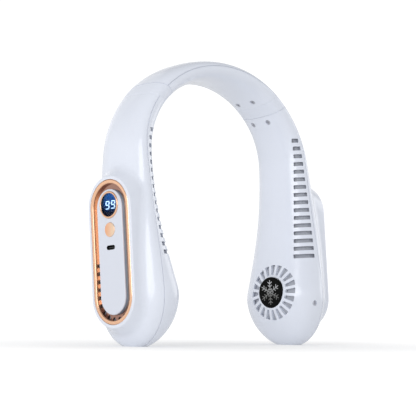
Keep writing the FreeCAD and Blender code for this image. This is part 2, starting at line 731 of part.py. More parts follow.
def hinge_link(near, far, direction):
    """A flat link round the pin, between two depths, that runs to its block along the band."""
    pin = radial(HINGE_ANGLE, ARCH_MID_RADIUS, 0.0)
    eye = rod(EAR_RADIUS, Vector(pin.x, near, pin.z), Vector(pin.x, far, pin.z))
    run = ARCH_MID_RADIUS * math.tan(math.radians(SLEEVE_ANGLE / 2)) + OVERRUN
    bar = Part.makeBox(2 * EAR_RADIUS, far - near, run, Vector(-EAR_RADIUS, near, 0))
    if direction < 0:
        bar.translate(Vector(0, 0, -run))
    turn = math.radians(HINGE_ANGLE)
    slope = math.degrees(math.atan2(math.sin(turn), ARCH_SQUASH_SHARE * math.cos(turn)))
    bar.rotate(ORIGIN, Y_AXIS, -slope)
    bar.translate(Vector(pin.x, 0, pin.z))
    return eye.fuse(bar)


def pin_rod(radius, start, end):
    """A rod on the hinge's axis, between two depths."""
    pin = radial(HINGE_ANGLE, ARCH_MID_RADIUS, 0.0)
    return rod(radius, Vector(pin.x, start, pin.z), Vector(pin.x, end, pin.z))


def hinge_clevis():
    """The forked half of the hinge, which is screwed into the end of the neck."""
    body = hinge_block(NECK_END_ANGLE, NECK_END_ANGLE + BLOCK_ANGLE)
    near = HINGE_PIN_HALF_LENGTH - EAR_THICKNESS
    far = HINGE_PIN_HALF_LENGTH
    body = body.fuse([hinge_link(near, far, 1), hinge_link(-far, -near, 1)])
    body = body.cut(pin_rod(PIN_RADIUS, -far - OVERRUN, far + OVERRUN))
    return body.cut(screw_shanks(HINGE_ANGLE + SCREW_OFFSET_ANGLE))


def hinge_knuckle():
    """The tongue half of the hinge, which is screwed into the top of the arm."""
    body = hinge_block(ARM_END_ANGLE - BLOCK_ANGLE, ARM_END_ANGLE)
    body = body.fuse(hinge_link(-KNUCKLE_HALF_DEPTH, KNUCKLE_HALF_DEPTH, -1))
    bore = PIN_RADIUS + RUNNING_GAP
    body = body.cut(pin_rod(bore, -KNUCKLE_HALF_DEPTH - OVERRUN, KNUCKLE_HALF_DEPTH + OVERRUN))
    return body.cut(screw_shanks(HINGE_ANGLE - SCREW_OFFSET_ANGLE))


def hinge_pin():
    """The hinge's pin, with a head past each ear."""
    end = HINGE_PIN_HALF_LENGTH
    heads = [pin_rod(PIN_HEAD_RADIUS, end, end + PIN_HEAD_THICKNESS),
             pin_rod(PIN_HEAD_RADIUS, -end - PIN_HEAD_THICKNESS, -end)]
    return pin_rod(PIN_RADIUS, -end, end).fuse(heads).removeSplitter()


def hinge_washers():
    """The two washers between the tongue and the ears."""
    near = KNUCKLE_HALF_DEPTH + SIDE_GAP
    far = near + WASHER_THICKNESS
    bore = PIN_RADIUS + RUNNING_GAP
    return [pin_rod(WASHER_RADIUS, near, far).cut(pin_rod(bore, near, far)),
            pin_rod(WASHER_RADIUS, -far, -near).cut(pin_rod(bore, -far, -near))]


# Gold ring, side panel and what shows in it

def gold_ring():
    """The gold ring: a rim, and a channel floor with vent holes."""
    body = ring_stadium(RING_HALF_WIDTH, POCKET_REACH, FACE_REACH)
    body = body.cut(ring_stadium(CHANNEL_OUTER, FACE_REACH - CHANNEL_DEPTH, FACE_REACH + OVERRUN))
    body = body.cut(ring_stadium(PANEL_HALF_WIDTH + FIT_GAP, POCKET_REACH - OVERRUN, FACE_REACH))
    body = body.makeFillet(RING_ROUND, face_edges(body))
    return body.cut(vent_holes(VENT_RADIUS, POCKET_REACH - OVERRUN, FACE_REACH - CHANNEL_DEPTH + VENT_RISE))


def face_edges(shape):
    """The edges of a shape that lie in its outermost plane."""
    top = shape.BoundBox.XMax - SEAT_GAP
    return [edge for edge in shape.Edges if edge.BoundBox.XMin > top]


def side_panel():
    """The plain panel inside the gold ring: a plate on a skirt."""
    body = ring_stadium(PANEL_HALF_WIDTH, POCKET_REACH, FACE_REACH)
    body = body.makeFillet(PANEL_ROUND, face_edges(body))
    return body.cut(ring_stadium(WINDOW_HALF_WIDTH, POCKET_REACH - OVERRUN, PANEL_BACK_REACH))


def control_panel():
    """The side panel with the openings for display, button and charging port."""
    start = PANEL_BACK_REACH - OVERRUN
    end = FACE_REACH + OVERRUN
    half_width = PORT_WIDTH / 2 + PORT_WALL + FIT_GAP
    half_height = PORT_OPENING / 2 + PORT_WALL + FIT_GAP
    holes = [across_rod(DISPLAY_RADIUS + FIT_GAP, DISPLAY_HEIGHT, start, end),
             across_rod(BUTTON_RADIUS + RUNNING_GAP, BUTTON_HEIGHT, start, end),
             flat_stadium(half_width, half_height, PORT_HEIGHT, start, end)]
    return side_panel().cut(Part.makeCompound(holes))


def display_pieces():
    """The display's rim, its lens, the lit digits and the module that carries them."""
    bore = DISPLAY_RADIUS - DISPLAY_RIM
    top = FACE_REACH + DISPLAY_PROUD
    lens_top = top - LENS_SET_BACK
    lens_back = lens_top - LENS_THICKNESS
    digit_back = lens_back - DIGIT_THICKNESS
    rim = across_tube(DISPLAY_RADIUS, bore, DISPLAY_HEIGHT, BOARD_REACH, top)
    rim = rim.makeFillet(DISPLAY_ROUND, face_edges(rim))
    lens = across_rod(bore, DISPLAY_HEIGHT, lens_back, lens_top)
    module = across_rod(bore, DISPLAY_HEIGHT, BOARD_REACH, digit_back)
    return {"display_bezel": rim, "display_lens": lens, "display_module": module,
            "display_digits": Part.makeCompound(display_digits(digit_back))}


def display_digits(back):
    """Two seven-segment nines, which read from the outer side of the left arm."""
    half_height = DIGIT_LENGTH / 2
    half_width = DIGIT_WIDTH / 2
    half_stroke = DIGIT_STROKE / 2
    lean = math.tan(math.radians(DIGIT_SLANT))
    level = (half_height - half_stroke, 0.0, half_stroke - half_height)
    bars = [(-half_width + half_stroke, half_width - half_stroke, height - half_stroke, height + half_stroke)
            for height in level]
    upper = (level[1] + half_stroke, level[0] - half_stroke)
    lower = (level[2] + half_stroke, level[1] - half_stroke)
    bars.append((-half_width, -half_width + DIGIT_STROKE) + upper)
    bars.append((half_width - DIGIT_STROKE, half_width) + upper)
    bars.append((half_width - DIGIT_STROKE, half_width) + lower)
    solids = []
    for shift in (-1, 1):
        middle = shift * (DIGIT_WIDTH + DIGIT_SPACE) / 2
        for left, right, low, high in bars:
            corners = []
            for side, height in ((left + DIGIT_GAP, low + DIGIT_GAP), (right - DIGIT_GAP, low + DIGIT_GAP),
                                 (right - DIGIT_GAP, high - DIGIT_GAP), (left + DIGIT_GAP, high - DIGIT_GAP)):
                corners.append(Vector(back, -(middle + side + height * lean), DISPLAY_HEIGHT + height))
            face = Part.Face(Part.makePolygon(corners + corners[:1]))
            solids.append(face.extrude(Vector(DIGIT_THICKNESS, 0, 0)))
    return solids


def power_button():
    """The round button: a cap with a lip behind the panel and a stem."""
    lip_top = PANEL_BACK_REACH - SIDE_GAP
    lip_back = lip_top - FLANGE_THICKNESS
    cap = across_rod(BUTTON_RADIUS, BUTTON_HEIGHT, lip_back, FACE_REACH + BUTTON_PROUD)
    cap = cap.makeFillet(BUTTON_ROUND, face_edges(cap))
    lip = across_rod(BUTTON_RADIUS + FLANGE_LIP, BUTTON_HEIGHT, lip_back, lip_top)
    stem = across_rod(STEM_RADIUS, BUTTON_HEIGHT, plunger_reach() + BUTTON_TRAVEL + SIDE_GAP, lip_back)
    return cap.fuse([lip, stem]).removeSplitter()


def plunger_reach():
    """How far out the top of the switch's plunger stands."""
    return BOARD_REACH + SWITCH_BODY + PLUNGER_HEIGHT


def button_switch():
    """The switch on the board behind the button, with its plunger."""
    half = SWITCH_SIZE / 2
    body = slab(half, BUTTON_HEIGHT - half, BUTTON_HEIGHT + half, BOARD_REACH, BOARD_REACH + SWITCH_BODY)
    return body.fuse(across_rod(PLUNGER_RADIUS, BUTTON_HEIGHT, BOARD_REACH, plunger_reach())).removeSplitter()


def charging_port():
    """The shell of the charging port and the tongue inside it."""
    mouth = FACE_REACH - PORT_SET_BACK
    floor = BOARD_REACH + PORT_BACK
    half_width = PORT_WIDTH / 2
    half_height = PORT_OPENING / 2
    outside = flat_stadium(half_width + PORT_WALL, half_height + PORT_WALL, PORT_HEIGHT, BOARD_REACH, mouth)
    shell = outside.cut(flat_stadium(half_width, half_height, PORT_HEIGHT, floor, mouth + OVERRUN))
    half_tongue = TONGUE_THICKNESS / 2
    tongue = slab(TONGUE_WIDTH / 2, PORT_HEIGHT - half_tongue, PORT_HEIGHT + half_tongue, floor,
                  mouth - TONGUE_SET_BACK)
    return {"usb_shell": shell, "usb_tongue": tongue}


def main_board():
    """The circuit board behind the panel, seated on the back of the pocket's floor."""
    low = PORT_HEIGHT - BOARD_BELOW_PORT
    high = WINDOW_TOP + BOARD_LIP
    return slab(WINDOW_HALF_WIDTH + BOARD_LIP, low, high, BOARD_REACH - BOARD_THICKNESS, BOARD_REACH)


# Badge and blower

def badge():
    """The round badge in the middle of the grille."""
    body = across_rod(BADGE_RADIUS, GRILLE_HEIGHT, BADGE_FACE_REACH, BADGE_FACE_REACH + BADGE_THICKNESS)
    edges = [edge for edge in body.Edges if edge.BoundBox.XMax < BADGE_FACE_REACH + BADGE_ROUND]
    return body.makeFillet(BADGE_ROUND, edges)


def snowflake():
    """A plain six-armed snowflake on the badge."""
    start = BADGE_FACE_REACH - FLAKE_THICKNESS
    half = FLAKE_STROKE / 2
    bars = []
    for index in range(6):
        turn = 60.0 * index
        pieces = [slab(half, 0.0, FLAKE_RADIUS, start, BADGE_FACE_REACH)]
        for place_share, length_share in FLAKE_BRANCH_SHARES:
            for side in (-1, 1):
                branch = slab(half, 0.0, FLAKE_RADIUS * length_share, start, BADGE_FACE_REACH)
                branch.rotate(ORIGIN, X_AXIS, side * FLAKE_BRANCH_ANGLE)
                branch.translate(Vector(0, 0, FLAKE_RADIUS * place_share))
                pieces.append(branch)
        for piece in pieces:
            piece.rotate(ORIGIN, X_AXIS, turn)
            piece.translate(Vector(0, 0, GRILLE_HEIGHT))
            bars.append(piece)
    return bars[0].fuse(bars[1:]).removeSplitter()


def blower_housing():
    """The cup round the impeller, with its air outlet at the top and a bore for the motor plate's tube."""
    body = across_rod(DUCT_RADIUS, GRILLE_HEIGHT, HOUSING_REACH, BATTERY_REACH)
    bore = DUCT_RADIUS - DUCT_WALL
    body = body.cut(across_rod(bore, GRILLE_HEIGHT, HOUSING_REACH - OVERRUN, HOUSING_BACK_REACH))
    outlet = slab(OUTLET_HALF_WIDTH, GRILLE_HEIGHT, GRILLE_HEIGHT + DUCT_RADIUS + OVERRUN,
                  HOUSING_REACH + DUCT_WALL, HOUSING_BACK_REACH)
    return body.cut(outlet)


def impeller():
    """The impeller: a hub over the motor, a back plate, a ring of blades and a front shroud."""
    hub_radius = CAN_RADIUS + IMPELLER_HUB_WALL
    front = FAN_BACK_REACH - IMPELLER_DEPTH
    plate = across_rod(IMPELLER_RADIUS, GRILLE_HEIGHT, FAN_BACK_REACH - IMPELLER_BACK, FAN_BACK_REACH)
    hub = across_rod(hub_radius, GRILLE_HEIGHT, CAN_FRONT_REACH, FAN_BACK_REACH)
    shroud = across_tube(IMPELLER_RADIUS, IMPELLER_RADIUS - BLADE_LENGTH / 2, GRILLE_HEIGHT, front,
                         front + SHROUD_THICKNESS)
    blades = []
    for index in range(BLADE_COUNT):
        blade = Part.makeBox(FAN_BACK_REACH - front, BLADE_THICKNESS, BLADE_LENGTH,
                             Vector(front, -BLADE_THICKNESS / 2, -BLADE_LENGTH))
        blade.rotate(ORIGIN, X_AXIS, BLADE_TURN)
        blade.translate(Vector(0, 0, IMPELLER_RADIUS - BLADE_THICKNESS))
        blade.rotate(ORIGIN, X_AXIS, 360.0 * index / BLADE_COUNT)
        blade.translate(Vector(0, 0, GRILLE_HEIGHT))
        blades.append(blade)
    body = plate.fuse([hub, shroud] + blades)
    body = body.common(across_rod(IMPELLER_RADIUS, GRILLE_HEIGHT, front, FAN_BACK_REACH))
    return body.cut(across_rod(CAN_RADIUS, GRILLE_HEIGHT, front, FAN_BACK_REACH + OVERRUN)).removeSplitter()


def motor_pieces():
    """The outer-rotor motor: can, stator, shaft, bearing and the plate that carries them."""
    can = across_rod(CAN_RADIUS, GRILLE_HEIGHT, CAN_FRONT_REACH, FAN_BACK_REACH)
    can = can.cut(across_rod(CAN_RADIUS - CAN_WALL, GRILLE_HEIGHT, CAN_FRONT_REACH + CAN_WALL,
                             FAN_BACK_REACH + OVERRUN))
    can = can.cut(across_rod(SHAFT_RADIUS, GRILLE_HEIGHT, CAN_FRONT_REACH - OVERRUN, FAN_BACK_REACH))
    shaft = across_rod(SHAFT_RADIUS, GRILLE_HEIGHT, CAN_FRONT_REACH - SHAFT_TIP, MOTOR_PLATE_REACH)
    tube_front = MOTOR_PLATE_REACH - BEARING_LENGTH
    plate = across_rod(MOTOR_PLATE_RADIUS, GRILLE_HEIGHT, MOTOR_PLATE_REACH, HOUSING_BACK_REACH)
    plate = plate.fuse(across_tube(TUBE_RADIUS, BEARING_RADIUS, GRILLE_HEIGHT, tube_front, MOTOR_PLATE_REACH))
    bore = SHAFT_RADIUS + SHAFT_GAP
    bearing = across_tube(BEARING_RADIUS, bore, GRILLE_HEIGHT, tube_front, MOTOR_PLATE_REACH)
    return {"rotor_can": can, "motor_shaft": shaft, "motor_plate": plate.removeSplitter(),
            "motor_bearing": bearing, "motor_stator": motor_stator(tube_front)}


def motor_stator(front):
    """The stator: a toothed ring on the plate's tube."""
    radius = CAN_RADIUS - CAN_WALL - AIR_GAP
    body = across_tube(radius, TUBE_RADIUS, GRILLE_HEIGHT, front, front + STATOR_DEPTH)
    for index in range(STATOR_TEETH):
        gap = slab(TOOTH_SLOT / 2, TUBE_RADIUS + STATOR_CORE, radius + OVERRUN, front - OVERRUN,
                   front + STATOR_DEPTH + OVERRUN)
        gap.rotate(ORIGIN, X_AXIS, 360.0 * index / STATOR_TEETH)
        gap.translate(Vector(0, 0, GRILLE_HEIGHT))
        body = body.cut(gap)
    return body


def battery():
    """The flat cell on the back of the blower."""
    end = POD_OUTER_REACH - WALL - BATTERY_GAP
    body = slab(BATTERY_HALF_WIDTH, BATTERY_BOTTOM, BATTERY_BOTTOM + BATTERY_LENGTH, BATTERY_REACH, end)
    long_edges = [edge for edge in body.Edges if edge.BoundBox.XLength > BATTERY_ROUND]
    return body.makeFillet(BATTERY_ROUND, long_edges)


def pod_screw():
    """The screw in the front of the right pod."""
    return screw(POD_SCREW_LENGTH, pod_screw_point(SCREW_RECESS_DEPTH), Y_AXIS)


# Assembly

def arm_pieces():
    """Every piece that both arms have, drawn for the right arm."""
    outer, inner = arm_shells()
    screws = hinge_screws(HINGE_ANGLE - SCREW_OFFSET_ANGLE)
    pieces = {"arm_outer_shell": outer, "arm_inner_shell": inner, "arm_screws": Part.makeCompound(screws),
              "hinge_sleeve": sleeve(), "hinge_clevis": hinge_clevis(), "hinge_knuckle": hinge_knuckle(),
              "hinge_pin": hinge_pin(), "hinge_washers": Part.makeCompound(hinge_washers()),
              "gold_ring": gold_ring(), "battery": battery(), "badge": faced(badge()),
              "snowflake": faced(snowflake())}
    blower = {"blower_housing": blower_housing(), "impeller": impeller()}
    blower.update(motor_pieces())
    for name, shape in blower.items():
        pieces[name] = forward(shape)
    return pieces


def control_pieces():
    """The pieces that only the left arm has, drawn on the right."""
    pieces = {"power_button": power_button(), "button_switch": button_switch(), "main_board": main_board()}
    pieces.update(display_pieces())
    pieces.update(charging_port())
    return pieces


def neck_pieces():
    """The pieces of the neck, from shoulder to shoulder."""
    outer, inner = neck_shells()
    right = hinge_screws(HINGE_ANGLE + SCREW_OFFSET_ANGLE)
    left = [screw.mirror(ORIGIN, X_AXIS) for screw in right]
    return {"neck_outer_shell": outer, "neck_inner_shell": inner, "neck_wire": neck_wire(),
            "neck_screws": Part.makeCompound(right + left)}


def fore_and_aft():
    """How far the leaning fan reaches to the front and to the back."""
    turn = math.radians(LEAN)
    depths = []
    for path in (POD_HEIGHT, ARCH_CENTRE_HEIGHT):
        for index in range(SECTION_POINTS):
            reach, depth = arm_section(path).point(2 * math.pi * index / SECTION_POINTS)
            depths.append(depth * math.cos(turn) + path * math.sin(turn))
    for index in range(SECTION_POINTS):
        reach, depth = BAND_SECTION.point(2 * math.pi * index / SECTION_POINTS)
        height = ARCH_CENTRE_HEIGHT + ARCH_SQUASH_SHARE * reach
        depths.append(depth * math.cos(turn) + height * math.sin(turn))
    return min(depths), max(depths)


def stand(shape):
    """The shape leant back and moved so that the fan's box is centred over the origin."""
    front, back = fore_and_aft()
    placed = shape.copy()
    placed.rotate(ORIGIN, X_AXIS, -LEAN)
    placed.translate(Vector(0, -(front + back) / 2, 0))
    return placed


def all_pieces():
    """Every node's shape by name, in the upright frame."""
    pieces = dict(neck_pieces())
    for name, shape in arm_pieces().items():
        pieces["right_" + name] = shape
        pieces["left_" + name] = shape.mirror(ORIGIN, X_AXIS)
    pieces["right_arm_inner_shell"] = seat_pod_screw(pieces["right_arm_inner_shell"])
    pieces["right_arm_screws"] = Part.makeCompound(pieces["right_arm_screws"].Solids + [pod_screw()])
    pieces["right_side_panel"] = side_panel()
    pieces["left_side_panel"] = control_panel().mirror(ORIGIN, X_AXIS)
    for name, shape in control_pieces().items():
        pieces[name] = shape.mirror(ORIGIN, X_AXIS)
    return pieces


def main():
    """Build every piece, stand the fan up and write one file for each node."""
    os.makedirs("parts", exist_ok=True)
    for name, shape in sorted(all_pieces().items()):
        stand(shape).exportStep("parts/" + name + ".step")


main()
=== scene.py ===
"""Looks of an electric neck fan: soft shoulder sleeves, nets, finishes, a white studio and the camera.

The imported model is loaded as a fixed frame. Lengths are metres and angles are degrees, unless a name says
otherwise.
"""

from __future__ import annotations

import json
import logging
import math
from dataclasses import dataclass
from enum import Enum
from typing import Iterable, Protocol

import bpy
from mathutils import Matrix, Quaternion, Vector

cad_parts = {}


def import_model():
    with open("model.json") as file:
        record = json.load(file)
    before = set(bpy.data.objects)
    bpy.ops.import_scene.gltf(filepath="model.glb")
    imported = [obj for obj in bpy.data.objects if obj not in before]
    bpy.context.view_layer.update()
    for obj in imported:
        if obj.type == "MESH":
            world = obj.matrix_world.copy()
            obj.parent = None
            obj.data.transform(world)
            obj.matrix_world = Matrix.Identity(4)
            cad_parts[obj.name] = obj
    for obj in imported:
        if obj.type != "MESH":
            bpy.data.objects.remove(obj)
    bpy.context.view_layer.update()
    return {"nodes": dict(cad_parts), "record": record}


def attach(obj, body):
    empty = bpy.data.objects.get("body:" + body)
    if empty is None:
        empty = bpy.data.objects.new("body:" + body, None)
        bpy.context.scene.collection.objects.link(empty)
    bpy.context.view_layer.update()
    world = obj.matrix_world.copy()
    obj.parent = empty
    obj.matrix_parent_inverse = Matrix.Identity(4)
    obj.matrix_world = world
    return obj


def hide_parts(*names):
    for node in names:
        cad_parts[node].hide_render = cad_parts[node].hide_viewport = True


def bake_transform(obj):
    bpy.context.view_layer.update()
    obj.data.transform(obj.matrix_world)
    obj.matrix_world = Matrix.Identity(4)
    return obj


LOG = logging.getLogger("neck_fan")
Colour = tuple[float, float, float]
Point = tuple[float, float, float]
Span = tuple[float, float]


class Side(Enum):
    """The two arms, with the direction in which each lies."""

    LEFT = -1
    RIGHT = 1

    @property
    def word(self) -> str:
        """The side's word in the names of pieces and bodies."""
        return self.name.lower()


class Sheen(Enum):
    """How rough a surface is, from mirror to soft plastic."""

    MIRROR = 0.06
    POLISHED = 0.13
    GLOSS = 0.2
    SATIN = 0.34
    SOFT = 0.46


def deselect() -> None:
    """Leave edit mode and select nothing, so that an operator acts on the new piece alone."""
    if bpy.context.object is not None and bpy.context.object.mode != "OBJECT":
        bpy.ops.object.mode_set(mode="OBJECT")
    bpy.ops.object.select_all(action="DESELECT")


def apply_modifier(piece: bpy.types.Object, kind: str, **settings: object) -> None:
    """Add a modifier to a piece and apply it.

    Args:
        piece: The mesh object.
        kind: The modifier's type.
        settings: The modifier's own values by name.
    """
    deselect()
    piece.select_set(True)
    bpy.context.view_layer.objects.active = piece
    modifier = piece.modifiers.new(kind.lower(), kind)
    for name, value in settings.items():
        setattr(modifier, name, value)
    bpy.ops.object.modifier_apply(modifier=modifier.name)


class ShaderGraph:
    """A node tree with short calls that add its nodes and join them."""

    def __init__(self, tree: bpy.types.NodeTree) -> None:
        """Keep the tree that the calls work on."""
        self.tree = tree

    def add(self, kind: str, inputs: dict[str, object] | None = None, **settings: object) -> bpy.types.Node:
        """Add a node.

        Args:
            kind: The node's class, without its ShaderNode prefix.
            inputs: Values for the node's sockets by name.
            settings: The node's own properties by name.

        Returns:
            The new node.
        """
        node = self.tree.nodes.new("ShaderNode" + kind)
        for name, value in settings.items():
            setattr(node, name, value)
        for name, value in (inputs or {}).items():
            node.inputs[name].default_value = value
        return node

    def join(self, source: bpy.types.NodeSocket, target: bpy.types.NodeSocket) -> None:
        """Link an output to an input."""
        self.tree.links.new(source, target)

    def maths(self, operation: str, first: object, second: object) -> bpy.types.NodeSocket:
        """Add a sum of two sockets or numbers.

        Args:
            operation: The Math node's operation.
            first: A socket or a number.
            second: A socket or a number.

        Returns:
            The result's socket.
        """
        node = self.add("Math", operation=operation)
        for socket, value in zip(node.inputs, (first, second)):
            if isinstance(value, bpy.types.NodeSocket):
                self.join(value, socket)
            else:
                socket.default_value = value
        return node.outputs[0]

    def noise(self, vector: bpy.types.NodeSocket, scale: object, detail: float) -> bpy.types.NodeSocket:
        """Add a noise texture.

        Args:
            vector: Where it is read.
            scale: A socket or a number of features per metre.
            detail: How many octaves it has.

        Returns:
            The noise's value, about 0.5.
        """
        node = self.add("TexNoise", {"Detail": detail})
        self.join(vector, node.inputs["Vector"])
        if isinstance(scale, bpy.types.NodeSocket):
            self.join(scale, node.inputs["Scale"])
        else:
            node.inputs["Scale"].default_value = scale
        return node.outputs["Fac"]


class SharedEffects:
    """Shader node groups that several finishes use, each built once."""

    NOISE_MIDDLE = 0.5
    CLOUD_DETAIL = 3.0
    GLOSS_DETAIL = 4.0
    GLOSS_FINENESS = 5.0
    SKIN_DETAIL = 2.0
    HAIR_TURNS = (0.6, 2.0, 1.2)
    HAIR_STRETCHES = ((900.0, 24.0, 24.0), (24.0, 900.0, 40.0), (30.0, 30.0, 900.0))
    HAIR_SPAN = {"From Min": 0.7, "From Max": 0.78}
    SMUDGE_SPAN = {"From Min": 0.52, "From Max": 0.74, "To Max": 0.5}
    SMUDGE_SCALE = 55.0
    SMUDGE_DETAIL = 3.0

    def __init__(self) -> None:
        """Build every group."""
        self.moulding = self._moulding()
        self.marks = self._marks()
        self.turning = self._turning()

    @staticmethod
    def _new(name: str, inputs: dict[str, str],
             outputs: dict[str, str]) -> tuple[ShaderGraph, bpy.types.Node, bpy.types.Node]:
        """Make an empty group with named sockets.

        Args:
            name: The group's name.
            inputs: The kind of each input socket by name.
            outputs: The kind of each output socket by name.

        Returns:
            The group's graph, its input node and its output node.
        """
        tree = bpy.data.node_groups.new(name, "ShaderNodeTree")
        for sockets, direction in ((inputs, "INPUT"), (outputs, "OUTPUT")):
            for socket, kind in sockets.items():
                tree.interface.new_socket(socket, in_out=direction, socket_type="NodeSocket" + kind)
        graph = ShaderGraph(tree)
        return graph, tree.nodes.new("NodeGroupInput"), tree.nodes.new("NodeGroupOutput")

    def _moulding(self) -> bpy.types.NodeTree:
        """Flow marks in the colour, an uneven gloss and the fine skin of a moulded or plated piece."""
        graph, given, made = self._new(
            "moulded_skin",
            {"Colour": "Color", "Mottle": "Float", "Mottle Scale": "Float", "Roughness": "Float",
             "Unevenness": "Float", "Skin Scale": "Float"},
            {"Colour": "Color", "Roughness": "Float", "Height": "Float"})
        place = graph.add("TexCoord").outputs["Object"]
        cloud = graph.noise(place, given.outputs["Mottle Scale"], self.CLOUD_DETAIL)
        centred = graph.maths("SUBTRACT", cloud, self.NOISE_MIDDLE)
        value = graph.maths("ADD", graph.maths("MULTIPLY", centred, given.outputs["Mottle"]), 1.0)
        tone = graph.add("HueSaturation")
        graph.join(given.outputs["Colour"], tone.inputs["Color"])
        graph.join(value, tone.inputs["Value"])
        graph.join(tone.outputs["Color"], made.inputs["Colour"])
        gloss_scale = graph.maths("MULTIPLY", given.outputs["Mottle Scale"], self.GLOSS_FINENESS)
        patches = graph.noise(place, gloss_scale, self.GLOSS_DETAIL)
        gloss = graph.maths("SUBTRACT", patches, self.NOISE_MIDDLE)
        uneven = graph.maths("MULTIPLY", gloss, given.outputs["Unevenness"])
        graph.join(graph.maths("ADD", given.outputs["Roughness"], uneven), made.inputs["Roughness"])
        graph.join(graph.noise(place, given.outputs["Skin Scale"], self.SKIN_DETAIL), made.inputs["Height"])
        return graph.tree

    def _marks(self) -> bpy.types.NodeTree:
        """Hairline marks and faint smudges that handling leaves on a gloss surface."""
        graph, given, made = self._new("handling_marks", {"Amount": "Float"}, {"Mask": "Float"})
        place = graph.add("TexCoord").outputs["Object"]
        total: bpy.types.NodeSocket | None = None
        for turn, stretch in zip(self.HAIR_TURNS, self.HAIR_STRETCHES):
            mapping = graph.add("Mapping", {"Rotation": (turn, turn / 2, turn / 3), "Scale": stretch})
            graph.join(place, mapping.inputs["Vector"])
            hair = graph.noise(mapping.outputs["Vector"], 1.0, 1.0)
            line = graph.add("MapRange", self.HAIR_SPAN)
            graph.join(hair, line.inputs["Value"])
            mark = line.outputs["Result"]
            total = mark if total is None else graph.maths("MAXIMUM", total, mark)
        smudge = graph.add("MapRange", self.SMUDGE_SPAN)
        graph.join(graph.noise(place, self.SMUDGE_SCALE, self.SMUDGE_DETAIL), smudge.inputs["Value"])
        both = graph.maths("MAXIMUM", total, smudge.outputs["Result"])
        graph.join(graph.maths("MULTIPLY", both, given.outputs["Amount"]), made.inputs["Mask"])
        return graph.tree

    def _turning(self) -> bpy.types.NodeTree:
        """Fine rings round an axis along X, as a turned or spun face has."""
        graph, given, made = self._new("turned_rings", {"Centre": "Vector", "Pitch": "Float"},
                                       {"Height": "Float"})
        place = graph.add("TexCoord").outputs["Object"]
        offset = graph.add("VectorMath", operation="SUBTRACT")
        graph.join(place, offset.inputs[0])
        graph.join(given.outputs["Centre"], offset.inputs[1])
        flat = graph.add("VectorMath", operation="MULTIPLY")
        flat.inputs[1].default_value = (0.0, 1.0, 1.0)
        graph.join(offset.outputs["Vector"], flat.inputs[0])
        radius = graph.add("VectorMath", operation="LENGTH")
        graph.join(flat.outputs["Vector"], radius.inputs[0])
        turns = graph.maths("DIVIDE", radius.outputs["Value"], given.outputs["Pitch"])
        wave = graph.maths("SINE", graph.maths("MULTIPLY", turns, 2.0 * math.pi), 0.0)
        graph.join(graph.maths("ADD", graph.maths("MULTIPLY", wave, 0.5), 0.5), made.inputs["Height"])
        return graph.tree


def new_material(name: str) -> tuple[ShaderGraph, bpy.types.Node]:
    """Make a material with an empty Principled surface.

    Args:
        name: The material's name.

    Returns:
        Its graph and its Principled BSDF.
    """
    material = bpy.data.materials.new(name)
    material.use_nodes = True
    graph = ShaderGraph(material.node_tree)
    graph.tree.nodes.clear()
    surface = graph.add("BsdfPrincipled")
    output = graph.add("OutputMaterial")
    graph.join(surface.outputs["BSDF"], output.inputs["Surface"])
    return graph, surface


class Finish(Protocol):
    """What every finish can do."""

    name: str

    def make(self, effects: SharedEffects) -> bpy.types.Material:
        """Build the finish as a material."""


@dataclass(frozen=True)
class Moulded:
    """Moulded plastic or rubber, or plated metal: a skin with uneven gloss and a few marks."""

    name: str
    colour: Colour
    sheen: Sheen
    metallic: float = 0.0
    coat: float = 0.0
    coat_roughness: float = 0.05
    specular: float = 0.5
    mottle: float = 0.03
    mottle_scale: float = 30.0
    unevenness: float = 0.06
    skin_scale: float = 1800.0
    skin_depth: float = 0.00002
    skin_strength: float = 0.6
    marks: float = 0.05
    turned_centre: Point | None = None
    turned_pitch: float = 0.0004

    def make(self, effects: SharedEffects) -> bpy.types.Material:
        """Build the finish.

        Args:
            effects: The shared node groups.

        Returns:
            The material.
        """
        graph, surface = new_material(self.name)
        skin = graph.add("Group", node_tree=effects.moulding)
        for name, value in (("Colour", (*self.colour, 1.0)), ("Mottle", self.mottle),
                            ("Mottle Scale", self.mottle_scale), ("Roughness", self.sheen.value),
                            ("Unevenness", self.unevenness), ("Skin Scale", self.skin_scale)):
            skin.inputs[name].default_value = value
        marks = graph.add("Group", {"Amount": self.marks}, node_tree=effects.marks)
        graph.join(self._tint(graph, skin.outputs["Colour"]), surface.inputs["Base Color"])
        rough = graph.maths("ADD", skin.outputs["Roughness"], marks.outputs["Mask"])
        graph.join(rough, surface.inputs["Roughness"])
        height = skin.outputs["Height"]
        if self.turned_centre is not None:
            rings = graph.add("Group", {"Centre": self.turned_centre, "Pitch": self.turned_pitch},
                              node_tree=effects.turning)
            height = graph.maths("ADD", height, rings.outputs["Height"])
        bump = graph.add("Bump", {"Strength": self.skin_strength, "Distance": self.skin_depth})
        graph.join(height, bump.inputs["Height"])
        graph.join(bump.outputs["Normal"], surface.inputs["Normal"])
        surface.inputs["Metallic"].default_value = self.metallic
        surface.inputs["Specular IOR Level"].default_value = self.specular
        surface.inputs["Coat Weight"].default_value = self.coat
        surface.inputs["Coat Roughness"].default_value = self.coat_roughness
        return bpy.data.materials[self.name]

    def _tint(self, graph: ShaderGraph, colour: bpy.types.NodeSocket) -> bpy.types.NodeSocket:
        """Leave the colour as it is.

        Args:
            graph: The material's graph, which is not used here.
            colour: The skin's colour.

        Returns:
            The socket of the colour that shows.
        """
        return colour


